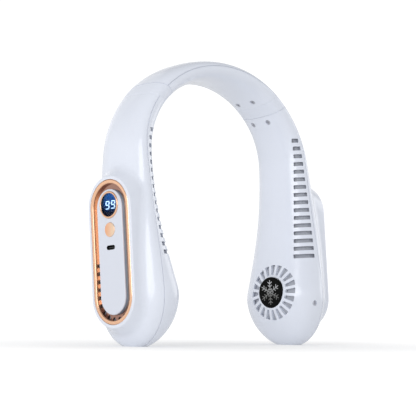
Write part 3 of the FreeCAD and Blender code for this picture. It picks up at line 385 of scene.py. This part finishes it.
@dataclass(frozen=True)
class PaintedLightGradient(Moulded):
    """A moulded or plated skin with painted light and shade: its colour runs along an axis from a painted
    colour to its own.

    The painted colour may itself run to a painted shade at the upper and lower tips of the piece.
    """

    axis: str = "X"
    start: float = 0.0
    end: float = 1.0
    # Painted light and shade: the colour at the start of the run, which fades into the skin's own colour by
    # its end.
    painted_light_colour: Colour = (0.2, 0.2, 0.2)
    # Painted shade that the painted colour runs into towards the upper and lower tips, centred on a height.
    tip_shade_colour: Colour | None = None
    tip_middle: float = 0.0
    tip_start: float = 0.0
    tip_end: float = 1.0

    def _tint(self, graph: ShaderGraph, colour: bpy.types.NodeSocket) -> bpy.types.NodeSocket:
        """Blend the painted colour into the skin's own along the axis, with painted shade at the tips where
        it is given.

        Args:
            graph: The material's graph.
            colour: The skin's colour.

        Returns:
            The socket of the colour that shows.
        """
        parts = graph.add("SeparateXYZ")
        graph.join(graph.add("TexCoord").outputs["Object"], parts.inputs["Vector"])
        place = graph.maths("ABSOLUTE", parts.outputs[self.axis], 0.0)
        blend = self._blend(graph, place, self.start, self.end, self.painted_light_colour)
        graph.join(colour, blend.inputs["B"])
        if self.tip_shade_colour is not None:
            rise = graph.maths("SUBTRACT", parts.outputs["Z"], self.tip_middle)
            away = graph.maths("ABSOLUTE", rise, 0.0)
            tips = self._blend(graph, away, self.tip_start, self.tip_end, self.painted_light_colour)
            tips.inputs["B"].default_value = (*self.tip_shade_colour, 1.0)
            graph.join(tips.outputs["Result"], blend.inputs["A"])
        return blend.outputs["Result"]

    @staticmethod
    def _blend(graph: ShaderGraph, place: bpy.types.NodeSocket, start: float, end: float,
               colour: Colour) -> bpy.types.Node:
        """Add a mix that leaves a colour between two places.

        Args:
            graph: The material's graph.
            place: Where on the axis the surface is.
            start: The place up to which the colour is whole.
            end: The place from which it is gone.
            colour: The colour.

        Returns:
            The mix, with its second colour still to be set.
        """
        share = graph.add("MapRange", {"From Min": start, "From Max": end})
        graph.join(place, share.inputs["Value"])
        blend = graph.add("Mix", data_type="RGBA")
        graph.join(share.outputs["Result"], blend.inputs["Factor"])
        blend.inputs["A"].default_value = (*colour, 1.0)
        return blend


@dataclass(frozen=True)
class Lit:
    """A glowing face of the display, whose colour rises from one height to another: the glow is the display's
    own light, the rise towards the top is painted light.
    """

    name: str
    low_colour: Colour
    high_colour: Colour
    low: float
    high: float
    strength: float
    cell_scale: float = 420.0
    cell_detail: float = 2.0
    cell_share: float = 0.3
    specular: float = 0.1

    def make(self, effects: SharedEffects) -> bpy.types.Material:
        """Build the finish.

        Args:
            effects: The shared node groups.

        Returns:
            The material.
        """
        graph, surface = new_material(self.name)
        place = graph.add("TexCoord").outputs["Object"]
        parts = graph.add("SeparateXYZ")
        graph.join(place, parts.inputs["Vector"])
        share = graph.add("MapRange", {"From Min": self.low, "From Max": self.high})
        graph.join(parts.outputs["Z"], share.inputs["Value"])
        cells = graph.noise(place, self.cell_scale, self.cell_detail)
        centred = graph.maths("SUBTRACT", cells, effects.NOISE_MIDDLE)
        uneven = graph.maths("MULTIPLY", centred, self.cell_share)
        blend = graph.add("Mix", data_type="RGBA")
        graph.join(graph.maths("ADD", share.outputs["Result"], uneven), blend.inputs["Factor"])
        blend.inputs["A"].default_value = (*self.low_colour, 1.0)
        blend.inputs["B"].default_value = (*self.high_colour, 1.0)
        graph.join(blend.outputs["Result"], surface.inputs["Base Color"])
        graph.join(blend.outputs["Result"], surface.inputs["Emission Color"])
        surface.inputs["Emission Strength"].default_value = self.strength
        surface.inputs["Roughness"].default_value = Sheen.SATIN.value
        surface.inputs["Specular IOR Level"].default_value = self.specular
        return bpy.data.materials[self.name]


@dataclass(frozen=True)
class Glass:
    """A clear cover with a tint and a polished, slightly handled face."""

    name: str
    tint: Colour
    marks: float = 0.06
    roughness: float = 0.01
    index: float = 1.1

    def make(self, effects: SharedEffects) -> bpy.types.Material:
        """Build the finish.

        Args:
            effects: The shared node groups.

        Returns:
            The material.
        """
        graph, surface = new_material(self.name)
        marks = graph.add("Group", {"Amount": self.marks}, node_tree=effects.marks)
        rough = graph.maths("ADD", marks.outputs["Mask"], self.roughness)
        graph.join(rough, surface.inputs["Roughness"])
        surface.inputs["Base Color"].default_value = (*self.tint, 1.0)
        surface.inputs["Transmission Weight"].default_value = 1.0
        surface.inputs["IOR"].default_value = self.index
        return bpy.data.materials[self.name]


@dataclass(frozen=True)
class Patterned:
    """A technical surface with a fine repeated pattern, such as windings, tracks or foil."""

    name: str
    colour: Colour
    line_colour: Colour
    scale: float
    metallic: float
    sheen: Sheen
    distortion: float = 3.0
    detail: float = 2.0
    detail_scale: float = 1.5
    grain_scale: float = 600.0
    grain_detail: float = 3.0
    grain_share: float = 0.2
    line_strength: float = 0.4
    line_depth: float = 0.0001

    def make(self, effects: SharedEffects) -> bpy.types.Material:
        """Build the finish.

        Args:
            effects: The shared node groups, which are not used here.

        Returns:
            The material.
        """
        graph, surface = new_material(self.name)
        place = graph.add("TexCoord").outputs["Object"]
        wave = graph.add("TexWave", {"Scale": self.scale, "Distortion": self.distortion,
                                     "Detail": self.detail, "Detail Scale": self.detail_scale})
        graph.join(place, wave.inputs["Vector"])
        blend = graph.add("Mix", data_type="RGBA")
        graph.join(wave.outputs["Fac"], blend.inputs["Factor"])
        blend.inputs["A"].default_value = (*self.colour, 1.0)
        blend.inputs["B"].default_value = (*self.line_colour, 1.0)
        graph.join(blend.outputs["Result"], surface.inputs["Base Color"])
        grain = graph.noise(place, self.grain_scale, self.grain_detail)
        uneven = graph.maths("MULTIPLY", grain, self.grain_share)
        graph.join(graph.maths("ADD", uneven, self.sheen.value), surface.inputs["Roughness"])
        bump = graph.add("Bump", {"Strength": self.line_strength, "Distance": self.line_depth})
        graph.join(wave.outputs["Fac"], bump.inputs["Height"])
        graph.join(bump.outputs["Normal"], surface.inputs["Normal"])
        surface.inputs["Metallic"].default_value = self.metallic
        return bpy.data.materials[self.name]


@dataclass(frozen=True)
class Stance:
    """How the upright drawing of the fan is set on its soles, found from a shoulder hinge of the frame."""

    lean: float
    shift: float
    arch_height: float

    @classmethod
    def from_hinge(cls, joint: dict[str, list[float]], rise: float) -> Stance:
        """Work out the stance from a shoulder hinge, which lies on the arch's middle line.

        Args:
            joint: The hinge's row in the record.
            rise: The hinge's height above the arch's centre.

        Returns:
            The stance.
        """
        lean = math.atan2(abs(joint["axis"][2]), abs(joint["axis"][1]))
        height = joint["pos_m"][2] / math.cos(lean)
        shift = joint["pos_m"][1] - height * math.sin(lean)
        return cls(math.degrees(lean), shift, height - rise)

    @property
    def matrix(self) -> Matrix:
        """The move from the upright drawing to the standing fan."""
        return Matrix.Translation((0.0, self.shift, 0.0)) @ Matrix.Rotation(math.radians(-self.lean), 4, "X")


@dataclass(frozen=True)
class Section:
    """A rounded section of the arch or of an arm, deeper at its outer side than at its inner side."""

    outer: float
    inner: float
    outer_half: float
    inner_half: float
    power: float = 2.3

    def point(self, turn: float, drawn_in: float) -> tuple[float, float]:
        """A point of the section.

        Args:
            turn: Its angle round the section in radians, from the outer side.
            drawn_in: How far the section is drawn in.

        Returns:
            Its reach and its depth.
        """
        across = math.copysign(abs(math.cos(turn)) ** (2.0 / self.power), math.cos(turn))
        along = math.copysign(abs(math.sin(turn)) ** (2.0 / self.power), math.sin(turn))
        half = (self.outer_half + self.inner_half) / 2 + (self.outer_half - self.inner_half) / 2 * across
        reach = (self.outer + self.inner) / 2 + ((self.outer - self.inner) / 2 - drawn_in) * across
        return reach, (half - drawn_in) * along

    def inner_reach(self, depth: float, drawn_in: float) -> float:
        """The reach of the section's inner side at a depth.

        Args:
            depth: The depth.
            drawn_in: How far the section is drawn in.

        Returns:
            The reach.
        """
        along = min(abs(depth) / (self.inner_half - drawn_in), 1.0)
        across = (1.0 - along ** self.power) ** (1.0 / self.power)
        return (self.outer + self.inner) / 2 - ((self.outer - self.inner) / 2 - drawn_in) * across


def ease(share: float) -> float:
    """Rise smoothly from 0 to 1 as the share does."""
    return math.sin(math.pi / 2 * min(max(share, 0.0), 1.0)) ** 2


@dataclass(frozen=True)
class Outline:
    """The fan's outer outline: the arch's section, and how it grows down the arms into the pods."""

    arch: Section = Section(0.0898, 0.0703, 0.0226, 0.0206)
    pod: Section = Section(0.0972, 0.056, 0.0364, 0.0342)
    pod_height: float = 0.038
    pod_drop: float = 0.0398
    sole_shift: float = 0.0046
    arm_end_angle: float = 37.5
    swell_power: float = 0.62
    squash: float = 0.84

    @property
    def middle(self) -> float:
        """The radius of the arch's middle line."""
        return (self.arch.outer + self.arch.inner) / 2

    def section(self, path: float, arch_height: float) -> Section:
        """The arm's section at a place on its path, which is a height up to the arch's centre.

        Args:
            path: The place on the path.
            arch_height: The height of the arch's centre.

        Returns:
            The section.
        """
        pod, arch = self.pod, self.arch
        if path < self.pod_height:
            drop = (self.pod_height - path) / self.pod_drop
            closing = math.sqrt(max(1.0 - drop * drop, 0.0))
            middle = (pod.outer + pod.inner) / 2 + self.sole_shift * drop * drop
            reach = (pod.outer - pod.inner) / 2 * closing
            return Section(middle + reach, middle - reach, pod.outer_half * closing, pod.inner_half * closing)
        end = arch_height + self.middle * math.radians(self.arm_end_angle)
        sweep = ease((path - self.pod_height) / (end - self.pod_height))
        rise = min((path - self.pod_height) / (arch_height - self.pod_height), 1.0)
        swell = ease(rise ** self.swell_power)
        return Section(pod.outer + (arch.outer - pod.outer) * sweep,
                       pod.inner + (arch.inner - pod.inner) * swell,
                       pod.outer_half + (arch.outer_half - pod.outer_half) * sweep,
                       pod.inner_half + (arch.inner_half - pod.inner_half) * swell)

    def place(self, path: float, reach: float, depth: float, arch_height: float) -> Vector:
        """The point at a reach and a depth at a place on the path of the right arm, on the upright fan.

        Args:
            path: The place on the path.
            reach: The reach from the arch's middle.
            depth: The depth, which is negative in front.
            arch_height: The height of the arch's centre.

        Returns:
            The point.
        """
        turn = max(path - arch_height, 0.0) / self.middle
        height = min(path, arch_height) + self.squash * reach * math.sin(turn)
        return Vector((reach * math.cos(turn), depth, height))


@dataclass
class SoftSleeve:
    """The soft sleeve over a shoulder hinge, which bends between the neck and the arm."""

    side: Side
    stance: Stance
    outline: Outline
    low_angle: float = 37.5
    high_angle: float = 46.5
    section_points: int = 96
    steps: int = 30
    edge_round: float = 0.0007
    edge_drop: float = 0.0004
    set_in: float = 0.00005
    wall: float = 0.002
    rigid_angle: float = 0.6

    def _drop(self, angle: float) -> float:
        """How far the sleeve is drawn in at an angle, most at its two rounded ends."""
        run = math.radians(min(angle - self.low_angle, self.high_angle - angle)) * self.outline.arch.outer
        if run >= self.edge_round:
            return self.set_in
        share = 1.0 - max(run, 0.0) / self.edge_round
        return self.set_in + self.edge_drop * (1.0 - math.sqrt(max(1.0 - share * share, 0.0)))

    def _step_angle(self, share: float) -> float:
        """The angle of a ring of points, closer together towards the two ends."""
        eased = (1.0 - math.cos(math.pi * share)) / 2
        return self.high_angle - (self.high_angle - self.low_angle) * eased

    def _arch_point(self, angle: float, reach: float, depth: float) -> Vector:
        """The point at an angle of the arch, a reach from its centre and a depth, on the upright fan."""
        turn = math.radians(angle)
        height = self.stance.arch_height + self.outline.squash * reach * math.sin(turn)
        return Vector((self.side.value * reach * math.cos(turn), depth, height))

    def build(self) -> bpy.types.Object:
        """Spin the section round the arch, round its ends, give it a wall and set it on the fan.

        Returns:
            The sleeve's object.
        """
        deselect()
        bpy.ops.mesh.primitive_circle_add(vertices=self.section_points, radius=self.outline.middle)
        piece = bpy.context.object
        piece.name = f"{self.side.word}_soft_sleeve"
        piece.data.name = piece.name
        bpy.ops.object.mode_set(mode="EDIT")
        bpy.ops.mesh.select_all(action="SELECT")
        bpy.ops.mesh.spin(steps=self.steps, angle=math.radians(self.high_angle - self.low_angle),
                          center=(0.0, 0.0, 0.0), axis=(0.0, 1.0, 0.0))
        bpy.ops.object.mode_set(mode="OBJECT")
        self._shape_rings(piece)
        bpy.ops.object.mode_set(mode="EDIT")
        bpy.ops.mesh.select_all(action="SELECT")
        bpy.ops.mesh.normals_make_consistent(inside=False)
        bpy.ops.object.mode_set(mode="OBJECT")
        apply_modifier(piece, "SOLIDIFY", thickness=self.wall, offset=-1.0)
        piece.data.transform(self.stance.matrix)
        piece.data.shade_smooth()
        return piece

    def _shape_rings(self, piece: bpy.types.Object) -> None:
        """Put each ring of the spun circle on the section at its own angle, drawn in at the ends.

        Args:
            piece: The spun mesh, whose rings follow each other in the order of its points.
        """
        for index, vertex in enumerate(piece.data.vertices):
            ring, place = divmod(index, self.section_points)
            angle = self._step_angle(ring / self.steps)
            turn = 2.0 * math.pi * place / self.section_points
            vertex.co = self._arch_point(angle, *self.outline.arch.point(turn, self._drop(angle)))

    def dress(self, piece: bpy.types.Object, material: bpy.types.Material) -> None:
        """Give the sleeve its finish and hide the imported sleeve that it stands for.

        Args:
            piece: The sleeve's object.
            material: Its finish.
        """
        piece.data.materials.append(material)
        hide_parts(f"{self.side.word}_hinge_sleeve")
        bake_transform(piece)


@dataclass
class Net:
    """A thin grey net, laid as a grid on the inside of an arm's wall, which rides on the arm."""

    side: Side
    stance: Stance
    outline: Outline
    label: str = "net"
    columns: int = 24
    rows: int = 60
    wall: float = 0.0005
    weld: float = 0.000001

    def spot(self, across_share: float, along_share: float) -> Vector:
        """The place of a point of the grid on the upright right arm.

        Args:
            across_share: How far across the grid the point is.
            along_share: How far along the grid it is.

        Returns:
            The place.
        """
        raise NotImplementedError

    def build(self) -> bpy.types.Object:
        """Lay a grid along the inside of the arm's wall and give it a thickness.

        Returns:
            The net's object.
        """
        deselect()
        bpy.ops.mesh.primitive_grid_add(x_subdivisions=self.columns, y_subdivisions=self.rows)
        piece = bpy.context.object
        piece.name = f"{self.side.word}_{self.label}"
        piece.data.name = piece.name
        for vertex in piece.data.vertices:
            point = self.spot((vertex.co.x + 1.0) / 2, (vertex.co.y + 1.0) / 2)
            vertex.co = (self.side.value * point.x, point.y, point.z)
        bpy.ops.object.mode_set(mode="EDIT")
        bpy.ops.mesh.select_all(action="SELECT")
        bpy.ops.mesh.remove_doubles(threshold=self.weld)
        bpy.ops.mesh.normals_make_consistent(inside=False)
        bpy.ops.object.mode_set(mode="OBJECT")
        apply_modifier(piece, "SOLIDIFY", thickness=self.wall, offset=0.0)
        piece.data.transform(self.stance.matrix)
        piece.data.shade_smooth()
        return piece

    def dress(self, piece: bpy.types.Object, material: bpy.types.Material) -> None:
        """Give the net its finish and let it ride on its arm.

        Args:
            piece: The net's object.
            material: Its finish.
        """
        piece.data.materials.append(material)
        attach(piece, f"{self.side.word}_arm")


@dataclass
class OutletNet(Net):
    """The net behind the row of outlet slots, seated by its rim on the wall."""

    label: str = "outlet_net"
    low_path: float = 0.0643
    high_path: float = 0.167
    low_turn: float = 208.0
    high_turn: float = 283.0
    rim_inset: float = 0.0019
    net_inset: float = 0.0031
    middle_share: float = 0.5
    rim_share: float = 0.49

    def spot(self, across_share: float, along_share: float) -> Vector:
        """The place of a point along the arm's front inner corner, nearer to the wall at the rim.

        Args:
            across_share: How far round the corner the point is.
            along_share: How far up the arm it is.

        Returns:
            The place.
        """
        edge = max(abs(across_share - self.middle_share), abs(along_share - self.middle_share))
        inset = self.rim_inset if edge > self.rim_share else self.net_inset
        path = self.low_path + (self.high_path - self.low_path) * along_share
        turn = math.radians(self.low_turn + (self.high_turn - self.low_turn) * across_share)
        section = self.outline.section(path, self.stance.arch_height)
        return self.outline.place(path, *section.point(turn, inset), self.stance.arch_height)


@dataclass
class IntakeNet(Net):
    """The ring of net behind the grille's slots, between the badge's hub and the duct."""

    label: str = "intake_net"
    columns: int = 72
    rows: int = 6
    wall: float = 0.0003
    height: float = 0.0404
    forward: float = 0.0044
    inner_radius: float = 0.01355
    outer_radius: float = 0.0219
    inset: float = 0.00235

    def spot(self, across_share: float, along_share: float) -> Vector:
        """The place of a point round the badge, just behind the wall.

        Args:
            across_share: How far round the badge the point is.
            along_share: How far out from the badge it is.

        Returns:
            The place.
        """
        turn = 2.0 * math.pi * across_share
        radius = self.inner_radius + (self.outer_radius - self.inner_radius) * along_share
        depth = radius * math.sin(turn) - self.forward
        height = self.height + radius * math.cos(turn)
        section = self.outline.section(height, self.stance.arch_height)
        return Vector((section.inner_reach(depth, self.inset), depth, height))


@dataclass(frozen=True)
class Softbox:
    """A round soft lamp that looks at the fan."""

    name: str
    place: Point
    power: float
    size: float = 1.2


@dataclass(frozen=True)
class SkyLayer:
    """Soft light from all round that changes between two heights, for all rays or for one kind alone."""

    low: float
    high: float
    low_strength: float
    high_strength: float
    ray: str = ""


@dataclass(frozen=True)
class Studio:
    """A white floor, large soft lights and the camera."""

    floor_size: float = 30.0
    floor_cells: int = 4
    floor_tone: Span = (0.61, 0.63)
    cloud_scale: float = 2.0
    cloud_detail: float = 2.0
    floor_roughness: float = 0.9
    floor_glow: float = 0.26
    # Painted shade: the glow seen by the camera is low near the fan, which greys the floor round it, and
    # rises over this reach to keep the far floor white.
    seen_reach: Span = (0.08, 0.36)
    seen_glow: Span = (0.08, 0.38)
    distance: float = 1.7
    azimuth: float = -43.74
    elevation: float = -2.2
    roll: float = -0.6
    target: Point = (-0.00212, 0.00505, 0.10444)
    frame_width: float = 0.31682
    sensor: float = 36.0
    clip: Span = (0.01, 100.0)
    sky_colour: Colour = (0.985, 0.99, 1.0)
    ends_start: float = 0.1
    ends_share: float = 0.5
    sky: tuple[SkyLayer, ...] = (
        SkyLayer(-0.1, 0.8, 1.02, 0.92),
        SkyLayer(0.2, 0.6, 0.95, 0.3, "Is Glossy Ray"),
        SkyLayer(-1.0, 1.0, 1.1, 1.1, "Is Camera Ray"))
    lamps: tuple[Softbox, ...] = (
        Softbox("key_light", (-1.7, -0.75, 0.6), 10.5),
        Softbox("side_light", (1.8, -0.5, 0.5), 4.5),
        Softbox("back_light", (0.3, 1.6, 1.0), 1.0))

    def build(self) -> None:
        """Set up floor, light and camera."""
        self._floor()
        self._world()
        self._lamps()
        self._camera()

    def _floor(self) -> None:
        """Lay the floor. The glow that the camera sees is low near the fan, which paints grey shade round it,
        and rises further out, so that the far floor stays white.
        """
        deselect()
        bpy.ops.mesh.primitive_grid_add(x_subdivisions=self.floor_cells, y_subdivisions=self.floor_cells,
                                        size=self.floor_size)
        floor = bpy.context.object
        floor.name = "floor"
        graph, surface = new_material("studio_floor")
        place = graph.add("TexCoord").outputs["Object"]
        tone = graph.add("MapRange", {"To Min": self.floor_tone[0], "To Max": self.floor_tone[1]})
        graph.join(graph.noise(place, self.cloud_scale, self.cloud_detail), tone.inputs["Value"])
        graph.join(tone.outputs["Result"], surface.inputs["Base Color"])
        reach = graph.add("VectorMath", operation="LENGTH")
        graph.join(place, reach.inputs["Vector"])
        glow = graph.add("MapRange", {"From Min": self.seen_reach[0], "From Max": self.seen_reach[1],
                                      "To Min": self.seen_glow[0], "To Max": self.seen_glow[1]})
        graph.join(reach.outputs["Value"], glow.inputs["Value"])
        # Painted shade: the glow that only the camera sees is lowest near the fan.
        camera_ray = graph.add("LightPath").outputs["Is Camera Ray"]
        seen = graph.maths("MULTIPLY", camera_ray, glow.outputs["Result"])
        graph.join(graph.maths("ADD", seen, self.floor_glow), surface.inputs["Emission Color"])
        surface.inputs["Roughness"].default_value = self.floor_roughness
        surface.inputs["Specular IOR Level"].default_value = 0.0
        surface.inputs["Emission Strength"].default_value = 1.0
        floor.data.materials.append(bpy.data.materials["studio_floor"])

    def _world(self) -> None:
        """Fill the studio with soft light, dimmer overhead, in front and behind, and a white backdrop."""
        world = bpy.data.worlds.new("studio")
        bpy.context.scene.world = world
        world.use_nodes = True
        graph = ShaderGraph(world.node_tree)
        graph.tree.nodes.clear()
        parts = graph.add("SeparateXYZ")
        graph.join(graph.add("TexCoord").outputs["Generated"], parts.inputs["Vector"])
        path = graph.add("LightPath")
        ends = graph.add("MapRange", {"From Min": self.ends_start, "From Max": 1.0, "To Min": 1.0,
                                      "To Max": self.ends_share})
        graph.join(graph.maths("ABSOLUTE", parts.outputs["Y"], 0.0), ends.inputs["Value"])
        shader: bpy.types.NodeSocket | None = None
        for layer in self.sky:
            ramp = graph.add("MapRange", {"From Min": layer.low, "From Max": layer.high,
                                          "To Min": layer.low_strength, "To Max": layer.high_strength},
                             interpolation_type="SMOOTHSTEP")
            graph.join(parts.outputs["Z"], ramp.inputs["Value"])
            light = graph.add("Background", {"Color": (*self.sky_colour, 1.0)})
            strength = ramp.outputs["Result"]
            if not layer.ray:
                strength = graph.maths("MULTIPLY", strength, ends.outputs["Result"])
            graph.join(strength, light.inputs["Strength"])
            if shader is None:
                shader = light.outputs["Background"]
                continue
            mix = graph.add("MixShader")
            graph.join(path.outputs[layer.ray], mix.inputs["Fac"])
            graph.join(shader, mix.inputs[1])
            graph.join(light.outputs["Background"], mix.inputs[2])
            shader = mix.outputs["Shader"]
        output = graph.add("OutputWorld")
        graph.join(shader, output.inputs["Surface"])

    def _lamps(self) -> None:
        """Hang the softboxes: on the left in front, on the right and behind."""
        for box in self.lamps:
            lamp = bpy.data.lights.new(box.name, "AREA")
            lamp.shape = "DISK"
            lamp.size = box.size
            lamp.energy = box.power
            holder = bpy.data.objects.new(box.name, lamp)
            holder.location = box.place
            aim = Vector(self.target) - Vector(box.place)
            holder.rotation_euler = aim.to_track_quat("-Z", "Y").to_euler()
            bpy.context.scene.collection.objects.link(holder)

    def _camera(self) -> None:
        """Set the camera at the photograph's viewing angle."""
        turn = math.radians(self.azimuth)
        rise = math.radians(self.elevation)
        back = Vector((math.sin(turn) * math.cos(rise), -math.cos(turn) * math.cos(rise), math.sin(rise)))
        camera = bpy.data.cameras.new("camera")
        camera.sensor_width = self.sensor
        camera.lens = self.sensor * self.distance / self.frame_width
        camera.clip_start, camera.clip_end = self.clip
        holder = bpy.data.objects.new("camera", camera)
        holder.location = Vector(self.target) + back * self.distance
        holder.rotation_mode = "QUATERNION"
        roll = Quaternion((0.0, 0.0, 1.0), math.radians(-self.roll))
        holder.rotation_quaternion = (-back).to_track_quat("-Z", "Y") @ roll
        bpy.context.scene.collection.objects.link(holder)
        bpy.context.scene.camera = holder


HINGE_ANGLE = 42.0
ROSE_GOLD = (0.956, 0.578, 0.376)
# Painted light: a lighter gold for the walls and floor of the ring's channel than for its rim.
CHANNEL_PAINTED_LIGHT_GOLD = (0.97, 0.61, 0.41)
DISPLAY_CENTRE = (-0.1024, 0.00506, 0.10341)
BUTTON_CENTRE = (-0.1024, 0.00347, 0.08517)

WHITE = Moulded("pearl_white_gloss", (0.765, 0.8, 0.885), Sheen.GLOSS, coat=0.3, mottle=0.02)
# Painted shade: the panel's side walls, down in the ring's channel, are a bluish grey, which also offsets the
# gold light they catch. The face is a slightly darker white than the body.
PANEL = PaintedLightGradient("pearl_white_panel", (0.69, 0.72, 0.8), Sheen.GLOSS, coat=0.3, mottle=0.02, start=0.1012,
               end=0.1017, painted_light_colour=(0.24, 0.36, 0.52))
NET = Patterned("grey_net", (0.5, 0.52, 0.57), (0.36, 0.375, 0.42), 1200.0, 0.0, Sheen.SOFT)
SLEEVE = Moulded("satin_white_silicone", (0.755, 0.79, 0.875), Sheen.SATIN, skin_scale=2600.0)
SCREW = Moulded("zinc_screw", (0.5, 0.515, 0.57), Sheen.SATIN, metallic=0.8, mottle=0.1, mottle_scale=300.0)
# Painted light and shade: the ring's channel takes the lighter channel gold, which darkens to a painted brown
# shade at the channel's top and bottom.
GOLD = PaintedLightGradient("rose_gold_plating", ROSE_GOLD, Sheen.POLISHED, metallic=0.85, mottle=0.02, marks=0.08,
              start=0.1013, end=0.1018, painted_light_colour=CHANNEL_PAINTED_LIGHT_GOLD, tip_shade_colour=(0.4, 0.22, 0.17), tip_middle=0.07,
              tip_start=0.036, tip_end=0.045)
# Painted highlight: the button's face is lighter towards its front edge.
SATIN_GOLD = PaintedLightGradient("rose_gold_button", (1.0, 0.52, 0.3), Sheen.SATIN, metallic=1.0,
                    turned_centre=BUTTON_CENTRE, axis="Y", start=0.0, end=0.0075,
                    painted_light_colour=(1.0, 0.76, 0.56))
GOLD_BEZEL = Moulded("rose_gold_bezel", ROSE_GOLD, Sheen.POLISHED, metallic=1.0, turned_centre=DISPLAY_CENTRE)

FINISH_BY_SLOT: dict[str, Finish] = {
    "white_plastic": WHITE,
    "soft_sleeve": SLEEVE,
    "rose_gold": GOLD,
    "black_gloss": Moulded("piano_black", (0.004, 0.004, 0.004), Sheen.MIRROR, specular=0.05,
                           unevenness=0.02),
    # Painted shade: the foil is dark towards its lower part and its own lighter colour at the top.
    "silver": PaintedLightGradient("silver_foil", (0.6, 0.61, 0.63), Sheen.SATIN, metallic=0.6, mottle=0.25,
                     mottle_scale=260.0, axis="Z", start=0.038, end=0.05, painted_light_colour=(0.17, 0.17, 0.165)),
    "steel": Moulded("bright_steel", (0.58, 0.59, 0.62), Sheen.POLISHED, metallic=1.0, mottle=0.1,
                     mottle_scale=300.0),
    "grey_nylon": Moulded("grey_nylon", (0.4, 0.415, 0.45), Sheen.SOFT, mottle=0.08),
    "dark_plastic": Moulded("dark_nylon", (0.02, 0.02, 0.023), Sheen.SOFT, mottle=0.1),
    "copper": Patterned("enamelled_windings", (0.5, 0.18, 0.06), (0.16, 0.05, 0.02), 1400.0, 0.9,
                        Sheen.SATIN),
    "bronze": Moulded("sintered_bronze", (0.4, 0.22, 0.08), Sheen.SATIN, metallic=0.9, mottle=0.3,
                      mottle_scale=900.0),
    "board": Patterned("solder_mask", (0.006, 0.07, 0.025), (0.02, 0.13, 0.05), 500.0, 0.0, Sheen.SATIN),
    "cell": Patterned("foil_pouch", (0.3, 0.33, 0.4), (0.42, 0.45, 0.5), 90.0, 0.7, Sheen.SATIN),
    "display_glass": Glass("display_cover", (0.8, 0.88, 1.0)),
    # The digits' own glow, lighter towards the top: the rise is painted light.
    "lit_white": Lit("lit_segments", (0.75, 0.88, 0.95), (0.82, 0.93, 1.0), 0.1, 0.109, 0.6),
    "cable": Moulded("black_cable", (0.012, 0.012, 0.013), Sheen.SOFT),
}
FINISH_BY_NODE: dict[str, Finish] = {
    "left_side_panel": PANEL,
    "right_side_panel": PANEL,
    "neck_screws": SCREW,
    "left_arm_screws": SCREW,
    "right_arm_screws": SCREW,
    "power_button": SATIN_GOLD,
    "display_bezel": GOLD_BEZEL,
    # The display's own glow, from near black at the bottom to blue at the top: the rise is painted light.
    "display_module": Lit("display_backlight", (0.0015, 0.003, 0.011), (0.011, 0.075, 0.24), 0.0975, 0.1125,
                          0.9),
    "usb_shell": Moulded("black_nickel", (0.03, 0.03, 0.034), Sheen.SATIN, metallic=1.0),
}


class Wardrobe:
    """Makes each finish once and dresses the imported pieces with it."""

    def __init__(self) -> None:
        """Build the shared effects."""
        self.effects = SharedEffects()
        self.made: dict[str, bpy.types.Material] = {}

    def material(self, finish: Finish) -> bpy.types.Material:
        """The material of a finish, which is built on its first use.

        Args:
            finish: The finish.

        Returns:
            Its material.
        """
        if finish.name not in self.made:
            self.made[finish.name] = finish.make(self.effects)
        return self.made[finish.name]

    def dress(self, nodes: dict[str, bpy.types.Object], subparts: Iterable[dict[str, str]]) -> None:
        """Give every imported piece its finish.

        Args:
            nodes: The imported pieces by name.
            subparts: The record's rows of node and material slot.
        """
        for row in subparts:
            name = row["node"]
            finish = FINISH_BY_NODE.get(name) or FINISH_BY_SLOT[row["material_slot"]]
            for slot in nodes[name].material_slots:
                slot.material = self.material(finish)
            LOG.info("%s: %s", name, finish.name)


def main() -> None:
    """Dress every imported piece, build the sleeves and nets and set up the studio."""
    logging.basicConfig(level=logging.INFO, format="%(name)s %(message)s")
    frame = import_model()
    bpy.context.scene.view_settings.view_transform = "Standard"
    wardrobe = Wardrobe()
    wardrobe.dress(frame["nodes"], frame["record"]["subparts"])
    outline = Outline()
    joints = frame["record"]["behaviour"]["joints"]
    hinge = next(joint for joint in joints if joint["name"] == "right_shoulder")
    rise = outline.squash * outline.middle * math.sin(math.radians(HINGE_ANGLE))
    stance = Stance.from_hinge(hinge, rise)
    for side in Side:
        for kind, finish in ((SoftSleeve, SLEEVE), (OutletNet, NET), (IntakeNet, NET)):
            maker = kind(side, stance, outline)
            piece = maker.build()
            maker.dress(piece, wardrobe.material(finish))
            LOG.info("%s: %d faces", piece.name, len(piece.data.polygons))
    Studio().build()


if __name__ == "__main__":
    main()
